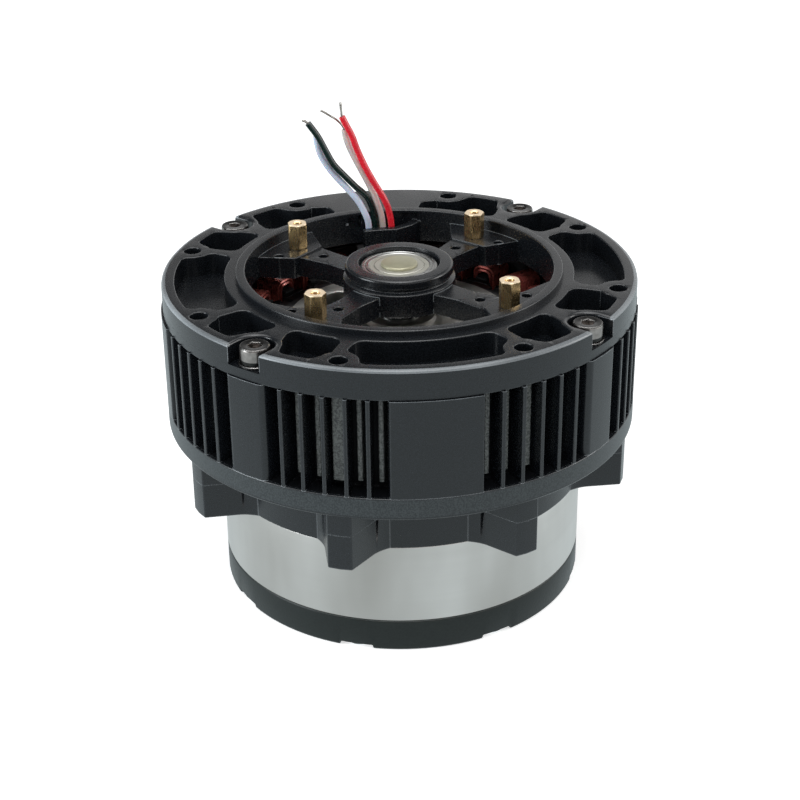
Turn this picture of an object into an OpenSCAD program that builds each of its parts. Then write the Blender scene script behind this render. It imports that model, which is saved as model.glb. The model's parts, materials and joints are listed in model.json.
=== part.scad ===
// Planetary gear motor: a flat inrunner motor in a finned housing over a single-stage planetary
// gearbox. Millimetres, +Z up, origin on the axis at the foot of the gearbox cover.
// Azimuth 0 is the front (-Y) and grows towards +X.

/* [Heights] */
// Height of the gearbox cover
cover_h = 8.5; // [8:0.1:10]
// Visible height of the ring gear between cover and drum
ring_gear_h = 20.8; // [20:0.1:24]
// Height of the drum and its lugs under the lower ring
drum_h = 14.6; // [14:0.1:17]
// Height of the lower ring of the housing
lower_ring_h = 5.6; // [4.5:0.1:7]
// Height of the cooling fins
fin_h = 24.2; // [23:0.1:27]
// Height of the rear end frame's rim
band_h = 7.3; // [7:0.1:9]
// Height of the register lip round the rear opening
lip_h = 1.3; // [0.8:0.1:2]
// Rise of the bearing hub above the rim
hub_rise = 2.2; // [1.5:0.1:3]
// Drop of the spider's top face below the rim
spider_drop = 2.2; // [1.5:0.1:3]
// Rise of the board pads above the spider's arms
pad_rise = 0.5; // [0.3:0.1:1.2]
// Thickness of the spider's arms
spider_t = 5.1; // [4:0.1:5.1]

/* [Housing] */
// Outer radius of the finned housing
housing_r = 58.5; // [58:0.1:60]
// Outer radius of the rear end frame
band_r = 58; // [57.4:0.1:58.5]
// Chamfer on the rim's outer edge
rim_chamfer = 0.9; // [0.4:0.1:1.2]
// Radius of the jacket between the fins
jacket_r = 52.6; // [52:0.1:53.4]
// Radius of the stator seat inside the jacket
stator_seat_r = 49; // [48.5:0.1:50]
// Thickness of a fin
fin_t = 1.0; // [0.8:0.1:1.4]
// Angle from one fin to the next
fin_step = 5.05; // [4.9:0.05:5.2]
// Number of fins from a wide pad to a screw pad
fins_per_group = 5; // [4:1:5]
// Width of the four wide smooth pads
wide_pad_w = 21.2; // [18:0.1:22]
// Width of the four pads under the cap screws
screw_pad_w = 11.2; // [10:0.1:12]
// Edge radius of the screw pads
screw_pad_edge_r = 1.6; // [0.8:0.1:2.5]
// How far the low ribs stand out of the jacket
rib_rise = 2.2; // [1:0.1:3]
// Width of the narrow low ribs
rib_w = 1.2; // [0.8:0.1:1.6]
// Width of the broad low rib in line with each lug
broad_rib_w = 3.0; // [2:0.1:3.4]
// Height at which the low ribs end above the lower ring
rib_foot = 2.4; // [1:0.1:5]
// Outer radius of the drum over the ring gear
drum_r = 46.4; // [46.2:0.1:47]
// Outer radius of the mounting lugs
lug_r = 57.3; // [56.5:0.1:57.5]
// Width of a lug at its outer face
lug_w = 5.8; // [5.4:0.1:7]
// Radius of the threaded hole in a lug
lug_hole_r = 1.65; // [1.2:0.05:2]
// Depth of the threaded hole in a lug
lug_hole_depth = 9; // [6:0.5:12]
// Pitch circle radius of the lug holes
lug_hole_pcr = 53.5; // [52:0.1:54]

/* [Rear end frame] */
// Radius of the rear opening
opening_r = 37.7; // [37:0.1:38.4]
// Width of the register lip
lip_w = 2.3; // [1.5:0.1:2.6]
// Inner radius of the rim pockets
pocket_in_r = 42.8; // [42.2:0.1:43.5]
// Outer radius of the rim pockets
pocket_out_r = 54.8; // [54:0.1:55.2]
// Depth of the rim pockets
pocket_depth = 5.3; // [3:0.1:5.8]
// Pitch circle radius of the screws and holes in the rim
rim_pcr = 53.8; // [53.4:0.1:54.2]
// Radius of the eight small rim holes
rim_hole_r = 2.15; // [1.6:0.05:2.3]
// Depth of the rim holes
rim_hole_depth = 6; // [4:0.1:6.4]
// Radius of the bearing hub
hub_r = 13.3; // [12.4:0.1:14]
// Width of a spider arm
arm_w = 7; // [5:0.1:9]
// Pitch circle radius of the circuit board standoffs
standoff_pcr = 32.3; // [31.6:0.1:33]
// Width across flats of a standoff
standoff_af = 4.5; // [4:0.1:5]
// Height of a standoff
standoff_h = 6.6; // [5:0.1:12]
// Radius of a standoff's threaded hole
standoff_hole_r = 1.05; // [0.8:0.05:1.4]

// Radius of a standoff's stud
stud_r = 1.2; // [1:0.05:1.4]
// Height of a standoff's stud
stud_h = 3; // [2:0.1:3.5]
// Radius of the small holes in the spider
pad_hole_r = 1.2; // [1:0.05:1.4]
// Pitch circle radius of the small holes in the arms
arm_hole_pcr = 24; // [22:0.1:25]
// Sideways place of the small holes in the board pads
pad_hole_x = 28.2; // [27.5:0.1:28.5]
// Depthways place of the small holes in the board pads
pad_hole_y = 17.5; // [17:0.1:18]

/* [Cap screws] */
// Radius of a cap screw's head
cap_head_r = 3.5; // [3.2:0.05:3.6]
// Height of a cap screw's head
cap_head_h = 4.0; // [3.4:0.1:4.2]
// Radius of a cap screw's shank
cap_shank_r = 1.9; // [1.5:0.05:2.2]
// Length of a cap screw's shank in the housing
cap_grip = 10; // [6:0.5:16]
// Clearance round a cap screw's head
cap_head_gap = 1.1; // [0.4:0.1:1.2]

/* [Motor] */
// Radius of the stator bore
stator_bore_r = 34.2; // [34:0.1:34.6]
// Height of the stator stack
stack_h = 16; // [14:0.5:17]
// Number of stator teeth
teeth = 24; // [24:1:24]
// Width of a stator tooth
tooth_w = 3.2; // [2.8:0.1:3.6]
// Thickness of a coil beside its tooth
coil_t = 2.4; // [1.5:0.1:2.6]
// Height of a coil above the stack
coil_rise = 3.4; // [2.5:0.1:3.6]
// Radial thickness of the magnets
magnet_t = 2; // [1.5:0.1:2.4]
// Number of magnets
magnets = 20; // [16:2:24]
// Air gap between the magnets and the stator
air_gap = 0.6; // [0.5:0.05:0.8]
// Radius of the rotor shaft in its bearings
shaft_r = 4; // [4:0.1:4.4]
// Radius of the rotor shaft between its bearings
shaft_shoulder_r = 5; // [4.8:0.1:5.4]
// Radius of the encoder magnet on the shaft's end
encoder_magnet_r = 4.5; // [4:0.1:5]
// Height of the encoder magnet
encoder_magnet_h = 0.7; // [0.5:0.1:1.2]

/* [Bearings] */
// Outer radius of the rotor bearings
bearing_r = 9.5; // [9.4:0.1:9.8]
// Width of the rotor bearings
bearing_w = 6; // [5:0.1:6.4]
// Radius of the balls in the rotor bearings
ball_r = 1.5; // [1.2:0.05:1.6]
// Outer radius of the output bearing
output_bearing_r = 32.5; // [32:0.1:33]
// Bore radius of the output bearing
output_bore_r = 25; // [24.5:0.1:25.5]
// Width of the output bearing
output_bearing_w = 7; // [6.5:0.1:7]
// Radius of the balls in the output bearing
output_ball_r = 2.3; // [2:0.1:2.5]

/* [Gearbox] */
// Outer radius of the ring gear and its cover
gearbox_r = 45.8; // [45.2:0.1:46.2]
// Radius of the ring gear's spigot in the drum
spigot_r = 40.2; // [40:0.1:40.6]
// Height of the ring gear's spigot
spigot_h = 2.7; // [2:0.1:3]
// Gear module
gear_module = 1; // [0.99:0.005:1.005]
// Teeth on the sun gear
sun_teeth = 15; // [15:1:15]
// Teeth on a planet gear
planet_teeth = 30; // [30:1:30]
// Number of planet gears
planets = 3; // [3:1:3]
// Face width of the gears
gear_w = 17; // [15:0.5:17]
// Backlash taken off each gear's tooth
backlash = 0.12; // [0.08:0.02:0.2]
// Radius of a planet pin
pin_r = 4; // [3.5:0.1:4.5]
// Running clearance between a bush and its pin
bush_gap = 0.05; // [0.02:0.01:0.08]
// Wall of a planet bush
bush_wall = 1.4; // [1:0.1:2]
// Clearance beside the planet gears
side_gap = 0.3; // [0.2:0.05:0.4]
// Thickness of the carrier's top plate
top_plate_t = 3.9; // [3:0.1:4]
// Radius of the output flange
flange_r = 29.2; // [28.5:0.1:29.5]
// Thickness of the output flange
flange_t = 2.0; // [1.6:0.1:2.1]
// Recess of the output flange in the cover
flange_recess = 0.5; // [0.3:0.1:0.8]
// Pitch circle radius of the output bolts
output_pcr = 18; // [16:0.1:20]
// Radius of the threaded output holes
output_hole_r = 1.65; // [1.2:0.05:2.1]
// Radius of the output pilot bore
pilot_r = 8; // [6:0.1:10]
// Pitch circle radius of the cover screws
cover_screw_pcr = 42.4; // [42.2:0.1:42.6]
// Shank radius of the cover screws
cover_screw_r = 1.5; // [1.4:0.05:1.6]
// Head radius of the cover screws
cover_head_r = 2.75; // [2.6:0.05:2.8]
// Head height of the cover screws
cover_head_h = 2; // [1.6:0.1:2.1]
// Corner radius of the cover screws' keys
cover_key_r = 1.45; // [1.2:0.05:1.6]
// Grip of the cover screws in the drum
cover_screw_grip = 8; // [7:0.5:8.5]
// Depth of a cover screw's head seat
cover_seat_z = 2.4; // [2.2:0.1:3]
// Pitch circle radius of the output flange's screws
flange_screw_pcr = 22.4; // [22:0.1:22.8]
// Clearance of the seal round the output flange
seal_gap = 0.15; // [0.1:0.05:0.3]
// Thickness of the cover's lip under the seal
seal_lip_t = 0.9; // [0.6:0.1:1]
// Width of the notches in the cover's edge
notch_w = 8.3; // [7:0.1:10]
// Height of the notches in the cover's edge
notch_h = 1.2; // [0.8:0.1:1.8]

/* [Leads] */
// Diameter of a lead
lead_d = 1.7; // [1.4:0.1:1.8]
// Diameter of a lead's bare end
lead_tip_d = 0.8; // [0.5:0.1:1]

/* [Hidden] */
$fn = 96;
// Depth of the cap screws' seats under the rim
cap_seat_depth = 4.8;
washer_t = 0.5;
washer_rim = 0.35;
cap_key_af = 3;
cap_key_floor = 2;
standoff_hole_depth = 5;
standoff_turn = 15;
// Angle from each wide pad's middle to its first fin
first_fin_angle = 15.1;
// Races and cages, as shares of a ball's radius
race_gap_share = 0.42;
cage_h_share = 0.45;
cage_t_share = 0.55;
shield_t = 0.3;
rotor_balls = 8;
output_balls = 26;
// Angles of the clip slots in the opening's back wall
left_clip_angle = 190.4;
right_clip_angle = 167.5;
// Guard wall round the leads
guard_t = 2;
guard_r = 31.9;
// Register of the rear end frame in the housing
frame_register = 2;
register_t = 1.5;
register_gap = 0.05;
// Teeth shoes, slot insulation and the yoke behind the slots
shoe_t = 1.5;
insulator_t = 0.6;
insulator_wall_h = 4;
yoke_t = 4;
// Block that holds the leads
anchor_half_w = 6;
anchor_wall_t = 2.6;
anchor_shelf_t = 2.2;
anchor_front_r = 31.6;
// Bosses of the rotor hub and the front bearing
hub_boss_r = 9;
bearing_boss_r = 13;
// Posts and screws of the planet carrier
carrier_r = 34;
carrier_bore_r = 5.2;
post_r = 5;
post_orbit = 26.5;
post_screw_r = 1.6;
post_head_r = 2.9;
post_screw_depth = 7.5;
flange_screw_r = 1.25;
flange_head_r = 2.4;
flange_head_top = 1.4;
pressure_angle = 25;

eps = 0.01;
top_trim = 1;
fin_inset = 0.03;
shank_gap = 0.06;

// Radii of the shell, which moves out with a stator seat that would leave its jacket too thin
least_jacket_t = 2.5;
shell_growth = max(0, stator_seat_r + least_jacket_t - jacket_r);
jacket_out_r = jacket_r + shell_growth;
shell_r = housing_r + shell_growth;
frame_r = band_r + shell_growth;
lug_out_r = lug_r + shell_growth;
lug_hole_orbit = lug_hole_pcr + shell_growth;
rim_orbit = rim_pcr + shell_growth;
pocket_far_r = pocket_out_r + shell_growth;

// Radii of the gearbox, which grow where the cover screws would come through its wall
least_screw_wall = 1.8;
gearbox_growth = max(0, cover_screw_pcr + cover_screw_r + least_screw_wall - gearbox_r);
case_r = gearbox_r + gearbox_growth;
drum_out_r = drum_r + gearbox_growth;

diagonals = [45, 135, 225, 315];
eighths = [for (k = [0:7]) 22.5 + 45 * k];
quarters = [0, 90, 180, 270];
output_angles = [for (k = [0:7]) 45 * k];
flange_screw_angles = [for (k = [0:3]) 22.5 + 90 * k];
planet_angles = [for (k = [0:planets - 1]) 360 / planets * k];
post_angles = [for (k = [0:planets - 1]) 360 / planets * (k + 0.5)];
seal_lip_r = flange_r + 1.4;

// Levels, from the foot up
drum_z = cover_h + ring_gear_h;
ring_z = drum_z + drum_h;
fin_z = ring_z + lower_ring_h;
band_z = fin_z + fin_h;
rim_z = band_z + band_h;
lip_z = rim_z + lip_h;
hub_z = rim_z + hub_rise;
spider_z = rim_z - spider_drop;
pad_z = spider_z + pad_rise;
cap_seat_z = rim_z - cap_seat_depth;

// Motor levels
motor_floor_z = ring_z + 1.1;
stack_z = ring_z + 6.1;
stack_top = stack_z + stack_h;
rear_bearing_z = hub_z - 1.1 - bearing_w;
front_bearing_z = motor_floor_z - 5;
shaft_top = rear_bearing_z + bearing_w;
// Share of the rotor's circle that magnets cover
magnet_cover = 0.88;

// Gearbox levels
output_bearing_z = flange_recess + flange_t + 0.1;
carrier_z = output_bearing_z + output_bearing_w + 0.2;
carrier_top = 13.5;
gears_z = carrier_top + side_gap;
gears_top = gears_z + gear_w;
top_plate_z = gears_top + side_gap;
top_plate_top = top_plate_z + top_plate_t;
post_seat_z = top_plate_top - 2;
gearbox_roof_z = ring_z - 4.4;

// Gear radii
ring_teeth = sun_teeth + 2 * planet_teeth;
planet_orbit = gear_module * (sun_teeth + planet_teeth) / 2;
sun_tip_r = gear_module * (sun_teeth / 2 + 1);
ring_root_r = gear_module * (ring_teeth / 2 + 1.25);
bush_r = pin_r + bush_gap + bush_wall;

// Rotor radii
magnet_out_r = stator_bore_r - air_gap;
magnet_in_r = magnet_out_r - magnet_t;
rotor_core_t = 3.6;
rotor_rim_t = 3;
rotor_core_in_r = magnet_in_r - rotor_core_t;
web_t = 4;
web_z = stack_top - 2;

// Lead routes, from the anchor's top face to where the insulation is stripped
red_route = [[2.8, 34, 73], [2.8, 34, 79.5], [2.1, 34.1, 83.8], [0.9, 34.1, 87], [-1.5, 34.2, 91.3],
    [-3.7, 34.3, 95.6], [-5.8, 34.3, 100.6], [-7, 34.3, 104.2], [-8.4, 34.3, 107.1], [-9.5, 34.3, 109.5]];
white_route = [[0.9, 36.1, 73], [0.6, 36.1, 80.5], [-0.6, 36.1, 85], [-2.3, 36.2, 89.6], [-4.5, 36.2, 94.2],
    [-6.9, 36.2, 99.2], [-8.2, 36.2, 102.7], [-8.7, 36.2, 105.5]];
black_route = [[-1.1, 36.2, 73], [-1.1, 36.2, 79.5], [-1.8, 36.1, 83.5], [-3.4, 35.8, 87.2],
    [-6.2, 35.5, 90.1], [-9.3, 35.1, 93.6], [-12, 34.8, 96.9], [-13.9, 34.8, 100.6], [-15.8, 34.8, 104.5],
    [-18.2, 34.8, 108.1]];
pale_route = [[-3.2, 34, 73], [-3.2, 34, 79.3], [-3.8, 34, 82.3], [-5.6, 34.6, 86.2], [-8.4, 35.4, 89.7],
    [-12.3, 36.4, 94.3], [-14.8, 36.9, 98.4], [-15.7, 36.9, 101.6], [-16, 36.9, 103.9]];
// Bare end of each lead: its route and where the strand ends, past the stripped insulation
strand_ends = [
    [red_route, [[-9.7, 34.3, 111.5], [-9.8, 34.3, 113.2]]],
    [white_route, [[-9.9, 36.2, 107.4], [-12.7, 36.2, 109.6], [-14.7, 36.2, 110.8]]],
    [black_route, [[-18.9, 34.8, 108.6], [-19.6, 34.8, 108.9]]],
    [pale_route, [[-16.1, 36.9, 104.9], [-16.1, 36.9, 105.8]]]
];

// Point at a radius and an azimuth
function polar(r, a) = [r * sin(a), -r * cos(a)];
function unit(v) = v / norm(v);
// One corner of an outline, rounded to a radius in n steps
function corner(a, b, c, r, n = 4) =
    let (
        u = unit(a - b),
        v = unit(c - b),
        half = acos(max(-1, min(1, u * v))) / 2,
        centre = b + unit(u + v) * r / sin(half),
        start = b + u * r / tan(half) - centre,
        end = b + v * r / tan(half) - centre,
        a0 = atan2(start[1], start[0]),
        raw = atan2(end[1], end[0]) - a0,
        turn = raw > 180 ? raw - 360 : raw < -180 ? raw + 360 : raw
    )
    [for (i = [0:n]) centre + r * [cos(a0 + turn * i / n), sin(a0 + turn * i / n)]];
// An outline whose points are [x, y, corner radius], where radius 0 keeps the point
function rounded(path) =
    let (n = len(path))
    [for (i = [0:n - 1])
        let (
            before = path[(i + n - 1) % n],
            here = path[i],
            after = path[(i + 1) % n]
        )
        each here[2] > 0
            ? corner([before[0], before[1]], [here[0], here[1]], [after[0], after[1]], here[2])
            : [[here[0], here[1]]]];
// The same as an outline point with a corner radius
function at(r, a, edge = 0) = [r * sin(a), -r * cos(a), edge];
// An outline's other half, left for right and in the order that goes on from it
function mirrored(path) = [for (i = [len(path) - 1:-1:0]) [-path[i][0], path[i][1], path[i][2]]];
function bezier(a, b, c, n) = [for (i = [0:n]) let (t = i / n)
    (1 - t) * (1 - t) * a + 2 * t * (1 - t) * b + t * t * c];

// Involute gear outline: teeth, outer and root addendum in modules, thickness change per tooth
function involute(base_r, r) = let (phi = acos(min(1, base_r / r))) tan(phi) * 180 / PI - phi;
function gear_outline(count, add, ded, thin) =
    let (
        pitch_r = gear_module * count / 2,
        base_r = pitch_r * cos(pressure_angle),
        root_r = pitch_r - ded * gear_module,
        tip_r = pitch_r + add * gear_module,
        half = 90 / count - thin / 2 / pitch_r * 180 / PI + involute(base_r, pitch_r),
        low_r = max(base_r, root_r),
        radii = [for (i = [0:4]) low_r + (tip_r - low_r) * i / 4]
    )
    [for (k = [0:count - 1])
        let (mid = 360 / count * k)
        each concat(
            root_r < low_r ? [polar(root_r, mid - half)] : [],
            [for (r = radii) polar(r, mid - half + involute(base_r, r))],
            [for (i = [4:-1:0]) polar(radii[i], mid + half - involute(base_r, radii[i]))],
            root_r < low_r ? [polar(root_r, mid + half)] : []
        )];

module around(angles) {
    for (a = angles)
        rotate([0, 0, a])
            children();
}

module tube(z, h, outer, inner) {
    translate([0, 0, z])
        linear_extrude(h)
            difference() {
                circle(r = outer);
                circle(r = inner);
            }
}

module disc(z, h, r) {
    translate([0, 0, z])
        cylinder(r = r, h = h);
}

// A hole from z upwards at a radius along the front
module hole(orbit, z, h, r) {
    translate([0, -orbit, z])
        cylinder(r = r, h = h, $fn = 32);
}

// Rim pockets

module rim_pocket(outline) {
    translate([0, 0, rim_z - pocket_depth])
        linear_extrude(pocket_depth + 1)
            polygon(rounded(outline));
}

// Radius at a share of the way across a pocket
function pocket_r(share) = pocket_in_r + share * (pocket_far_r - pocket_in_r);
long_pocket_side = [
    at(pocket_in_r, 8), at(pocket_in_r, 15), at(pocket_in_r, 21, 2.6), at(pocket_r(0.517), 21.9, 3),
    at(pocket_far_r, 18.6, 2.4), at(pocket_far_r, 13), at(pocket_far_r, 6)
];
long_pocket = concat(long_pocket_side, [at(pocket_far_r, 0)], mirrored(long_pocket_side),
    [at(pocket_in_r, 0)]);

// Between a small rim hole and the cap screw at 45 degrees
short_pocket = [
    at(pocket_in_r, 24.8, 2.2), at(pocket_in_r, 30), at(pocket_in_r, 35), at(pocket_in_r, 39.5),
    at(pocket_in_r + 0.6, 43.6, 2), at(pocket_r(0.567), 40.2, 2.4), at(pocket_far_r, 38.7, 1.8),
    at(pocket_far_r, 35), at(pocket_far_r, 31.9, 1.8), at(pocket_r(0.642), 24.9, 3)
];

cap_recess_r = cap_head_r + cap_head_gap;

module rim_cutouts() {
    around(quarters) {
        rim_pocket(long_pocket);
        rim_pocket(short_pocket);
        rim_pocket(mirrored(short_pocket));
    }
    around(eighths)
        hole(rim_orbit, rim_z - rim_hole_depth, rim_hole_depth + 1, rim_hole_r);
    around(diagonals) {
        hole(rim_orbit, band_z - 5, band_h + 5, cap_shank_r + shank_gap);
        hole(rim_orbit, cap_seat_z, band_h, cap_recess_r);
        translate([-cap_recess_r, -frame_r - 5, cap_seat_z])
            cube([2 * cap_recess_r, frame_r + 5 - rim_orbit, band_h]);
    }
}

// Half of a spider arm's outline, from the hub to the rim
function arm_side() = let (half = arm_w / 2)
    [[half + 1, -8, 0], [half - 0.2, -20, 4], [half + 0.6, -27, 4], [half + 2, -31, 0]];
// Half of a board pad's outline on each side of its arm: the front pads spread along the side windows
pad_front = [[5.8, -28, 0.8], [8.5, -30.2, 3], [21, -32, 0], [21, -38.8, 0]];
pad_back = [[6.3, -28, 0.8], [11.5, -34.5, 0], [11.5, -38.8, 0]];
pad_inner = [[4.3, -28, 0.8], [11, -34.5, 0], [11, -38.8, 0]];

module spider_plate(right, left, top) {
    translate([0, 0, spider_z - spider_t])
        linear_extrude(top - spider_z + spider_t)
            polygon(rounded(concat(right, mirrored(left))));
}

module spider_arm() {
    spider_plate(arm_side(), arm_side(), spider_z);
}

module board_pads() {
    rotate(45)
        spider_plate(pad_front, pad_inner, pad_z);
    rotate(135)
        spider_plate(pad_inner, pad_back, pad_z);
    rotate(225)
        spider_plate(pad_back, pad_inner, pad_z);
    rotate(315)
        spider_plate(pad_inner, pad_front, pad_z);
}

guard_top = rim_z - 1.5;

// Curved wall that holds the leads against the back of the opening, round at its free end
module lead_guard() {
    near = guard_r - guard_t / 2;
    far = guard_r + guard_t / 2;
    translate([0, 0, band_z])
        linear_extrude(guard_top - band_z)
            polygon(rounded([
                at(near, 189, 0.9), at(near, 184), at(near, 179), at(near, 173), at(34, 166.5),
                at(opening_r + 1, 162.5), at(opening_r + 1, 166.5), at(35, 169.5), at(far, 174),
                at(far, 179), at(far, 184), at(far, 189, 0.9)
            ]));
}

// Its register in the housing stays clear of the coils and the lead anchor
module rear_end_frame() {
    register_r = stator_seat_r - register_gap;
    hub_waist_z = spider_z + 0.6;
    color("#23262a")
        difference() {
            union() {
                rotate_extrude()
                    polygon([
                        [opening_r, band_z], [register_r - register_t, band_z],
                        [register_r - register_t, band_z - frame_register],
                        [register_r, band_z - frame_register], [register_r, band_z], [frame_r, band_z],
                        [frame_r, rim_z - rim_chamfer], [frame_r - rim_chamfer, rim_z],
                        [opening_r + lip_w, rim_z], [opening_r + lip_w, lip_z - 0.3],
                        [opening_r + lip_w - 0.3, lip_z],
                        [opening_r + 0.3, lip_z], [opening_r, lip_z - 0.3]
                    ]);
                intersection() {
                    disc(spider_z - spider_t, spider_t + pad_rise, opening_r + 0.5);
                    union() {
                        around(diagonals)
                            spider_arm();
                        board_pads();
                    }
                }
                rotate_extrude()
                    polygon([
                        [bearing_r - 1.5, spider_z - spider_t], [hub_r + 0.5, spider_z - spider_t],
                        [hub_r + 0.5, hub_waist_z], [hub_r - 0.6, hub_waist_z + 0.5],
                        [hub_r - 0.6, hub_waist_z + 1], [hub_r, hub_waist_z + 1.5],
                        [hub_r, hub_z - 0.7], [hub_r - 0.7, hub_z], [bearing_r - 1.5, hub_z]
                    ]);
                lead_guard();
            }
            rim_cutouts();
            disc(rear_bearing_z, 20, bearing_r);
            around(diagonals) {
                hole(standoff_pcr, pad_z - stud_h - 0.2, 10, stud_r);
                hole(arm_hole_pcr, spider_z - 3.5, 10, pad_hole_r);
            }
            for (sx = [-1, 1], sy = [-1, 1])
                translate([sx * pad_hole_x, sy * pad_hole_y, spider_z - 3.5])
                    cylinder(r = pad_hole_r, h = 10, $fn = 32);
            // Clip slots in the back wall
            rotate([0, 0, left_clip_angle])
                translate([-2.1, -opening_r - 2, rim_z - 3])
                    cube([4.2, 4, 3.6]);
            rotate([0, 0, right_clip_angle])
                translate([-2, -opening_r - 0.8, rim_z - 2.2])
                    cube([4, 2, 2.8]);
        }
}

// Housing

fin_angles = [for (k = [0:fins_per_group - 1]) first_fin_angle + k * fin_step];
rib_angles = [for (k = [0, 1, 3, 4]) first_fin_angle + (k - 0.5) * fin_step];
fin_angles_all = [for (q = [0:3], a = fin_angles) each [90 * q + a, 90 * q - a]];
rib_angles_all = [for (q = [0:3], a = rib_angles) each [90 * q + a, 90 * q - a]];

// A rib on the jacket, from z upwards
module jacket_rib(z, h, w, outer) {
    translate([-w / 2, -outer, z])
        cube([w, outer - jacket_out_r + 1, h]);
}

module wide_pads() {
    intersection() {
        disc(fin_z, fin_h + 3 * top_trim, shell_r);
        around(quarters)
            jacket_rib(fin_z, fin_h + 2 * top_trim, wide_pad_w, shell_r + 1);
    }
}

module screw_pad() {
    half = screw_pad_w / 2;
    side = [[half, -shell_r + 0.3, screw_pad_edge_r], [half, -jacket_out_r + 1, 0]];
    translate([0, 0, fin_z])
        linear_extrude(fin_h + 2 * top_trim)
            polygon(rounded(concat(side, mirrored(side), [[0, -shell_r + fin_inset, 0]])));
}

// A lug flares into the drum through a concave fillet
module lug_outline() {
    half = lug_w / 2;
    side = concat(
        [[half, -lug_out_r + 0.25], [half + 2.2, -lug_out_r + 5.8]],
        bezier([half + 3.1, -drum_out_r - 2.8], [half + 4.2, -drum_out_r - 0.2],
            [half + 8.4, -drum_out_r + 2.8], 5)
    );
    polygon(concat([[0, -lug_out_r], [half - 0.4, -lug_out_r + 0.02]], side,
        [for (i = [len(side) - 1:-1:0]) [-side[i][0], side[i][1]]], [[-half + 0.4, -lug_out_r + 0.02]]));
}

// The jacket, its fins and its pads overrun their top face, and one cut levels them
module finned_housing() {
    low_rib_h = fin_h - rib_foot + 2 * top_trim;
    color("#2b2f33")
        difference() {
            union() {
                wide_pads();
                around(diagonals)
                    screw_pad();
                around(fin_angles_all)
                    jacket_rib(fin_z, fin_h + 2 * top_trim, fin_t, shell_r - fin_inset);
                around(rib_angles_all)
                    jacket_rib(fin_z + rib_foot, low_rib_h, rib_w, jacket_out_r + rib_rise);
                around(eighths)
                    jacket_rib(fin_z + rib_foot, low_rib_h, broad_rib_w, jacket_out_r + rib_rise + 0.6);
                rotate_extrude()
                    polygon([
                        [8, gearbox_roof_z], [spigot_r - 2, gearbox_roof_z],
                        [spigot_r - 2, drum_z + spigot_h + 0.4], [spigot_r, drum_z + spigot_h],
                        [spigot_r, drum_z], [drum_out_r, drum_z], [drum_out_r, ring_z],
                        [shell_r - 0.4, ring_z], [shell_r, ring_z + 0.4], [shell_r, fin_z],
                        [jacket_out_r, fin_z], [jacket_out_r, band_z + top_trim],
                        [stator_seat_r, band_z + top_trim],
                        [stator_seat_r, stack_z], [stator_seat_r - 2, stack_z],
                        [stator_seat_r - 2, motor_floor_z], [bearing_boss_r, motor_floor_z],
                        [bearing_boss_r, motor_floor_z + 1],
                        [8, motor_floor_z + 1]
                    ]);
                around(eighths)
                    translate([0, 0, drum_z])
                        linear_extrude(drum_h + eps)
                            lug_outline();
            }
            disc(band_z, 4 * top_trim, shell_r + 2);
            disc(front_bearing_z, 20, bearing_r);
            disc(0, 60, bearing_r - 1.5);
            around(diagonals)
                hole(rim_orbit, band_z - cap_grip - 0.5, cap_grip + 2, cap_shank_r);
            around(eighths) {
                hole(lug_hole_orbit, drum_z - 1, lug_hole_depth + 1, lug_hole_r);
                hole(cover_screw_pcr, drum_z - 1, cover_screw_grip + 2, cover_screw_r);
            }
        }
}

// Fasteners on the rear face

module cap_screws() {
    head_z = cap_seat_z + washer_t;
    color("#8d9196")
        around(diagonals)
            translate([0, -rim_orbit, 0])
                difference() {
                    union() {
                        rotate_extrude()
                            polygon([
                                [0, head_z], [cap_head_r - 0.15, head_z], [cap_head_r, head_z + 0.15],
                                [cap_head_r, head_z + cap_head_h - 0.35],
                                [cap_head_r - 0.35, head_z + cap_head_h], [0, head_z + cap_head_h]
                            ]);
                        disc(band_z - cap_grip, head_z - band_z + cap_grip + eps, cap_shank_r);
                    }
                    translate([0, 0, head_z + cap_key_floor])
                        cylinder(r = cap_key_af / sqrt(3), h = cap_head_h, $fn = 6);
                }
}

module cap_screw_washers() {
    color("#b9bcc0")
        around(diagonals)
            translate([0, -rim_orbit, 0])
                tube(cap_seat_z, washer_t, cap_head_r + washer_rim, cap_shank_r);
}

module board_standoffs() {
    color("#c9a24a")
        around(diagonals)
            translate([0, -standoff_pcr, pad_z])
                difference() {
                    union() {
                        rotate([0, 0, standoff_turn])
                            cylinder(r = standoff_af / sqrt(3), h = standoff_h, $fn = 6);
                        translate([0, 0, -stud_h])
                            cylinder(r = stud_r, h = stud_h + eps);
                    }
                    translate([0, 0, standoff_h - standoff_hole_depth])
                        cylinder(r = standoff_hole_r, h = standoff_hole_depth + 1);
                }
}

// Bearings: races share a ball circle midway between bore and outside

function race_gap(ball) = ball * race_gap_share;

module outer_race(z, w, outer, bore, ball) {
    mid = (outer + bore) / 2;
    translate([0, 0, z])
        rotate_extrude()
            difference() {
                translate([mid + race_gap(ball), 0])
                    square([outer - mid - race_gap(ball), w]);
                translate([mid, w / 2])
                    circle(r = ball + 0.03);
            }
}

module inner_race(z, w, outer, bore, ball) {
    mid = (outer + bore) / 2;
    translate([0, 0, z])
        rotate_extrude()
            difference() {
                translate([bore, 0])
                    square([mid - race_gap(ball) - bore, w]);
                translate([mid, w / 2])
                    circle(r = ball + 0.03);
            }
}

// Balls held in their cage
module ball_set(z, w, outer, bore, ball, count) {
    mid = (outer + bore) / 2;
    half_h = ball * cage_h_share;
    half_t = race_gap(ball) * cage_t_share;
    union() {
        tube(z + w / 2 - half_h, 2 * half_h, mid + half_t, mid - half_t);
        for (k = [0:count - 1])
            rotate([0, 0, 360 / count * k])
                translate([0, -mid, z + w / 2])
                    rotate([0, 0, 90])
                        sphere(r = ball, $fn = 24);
    }
}

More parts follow.
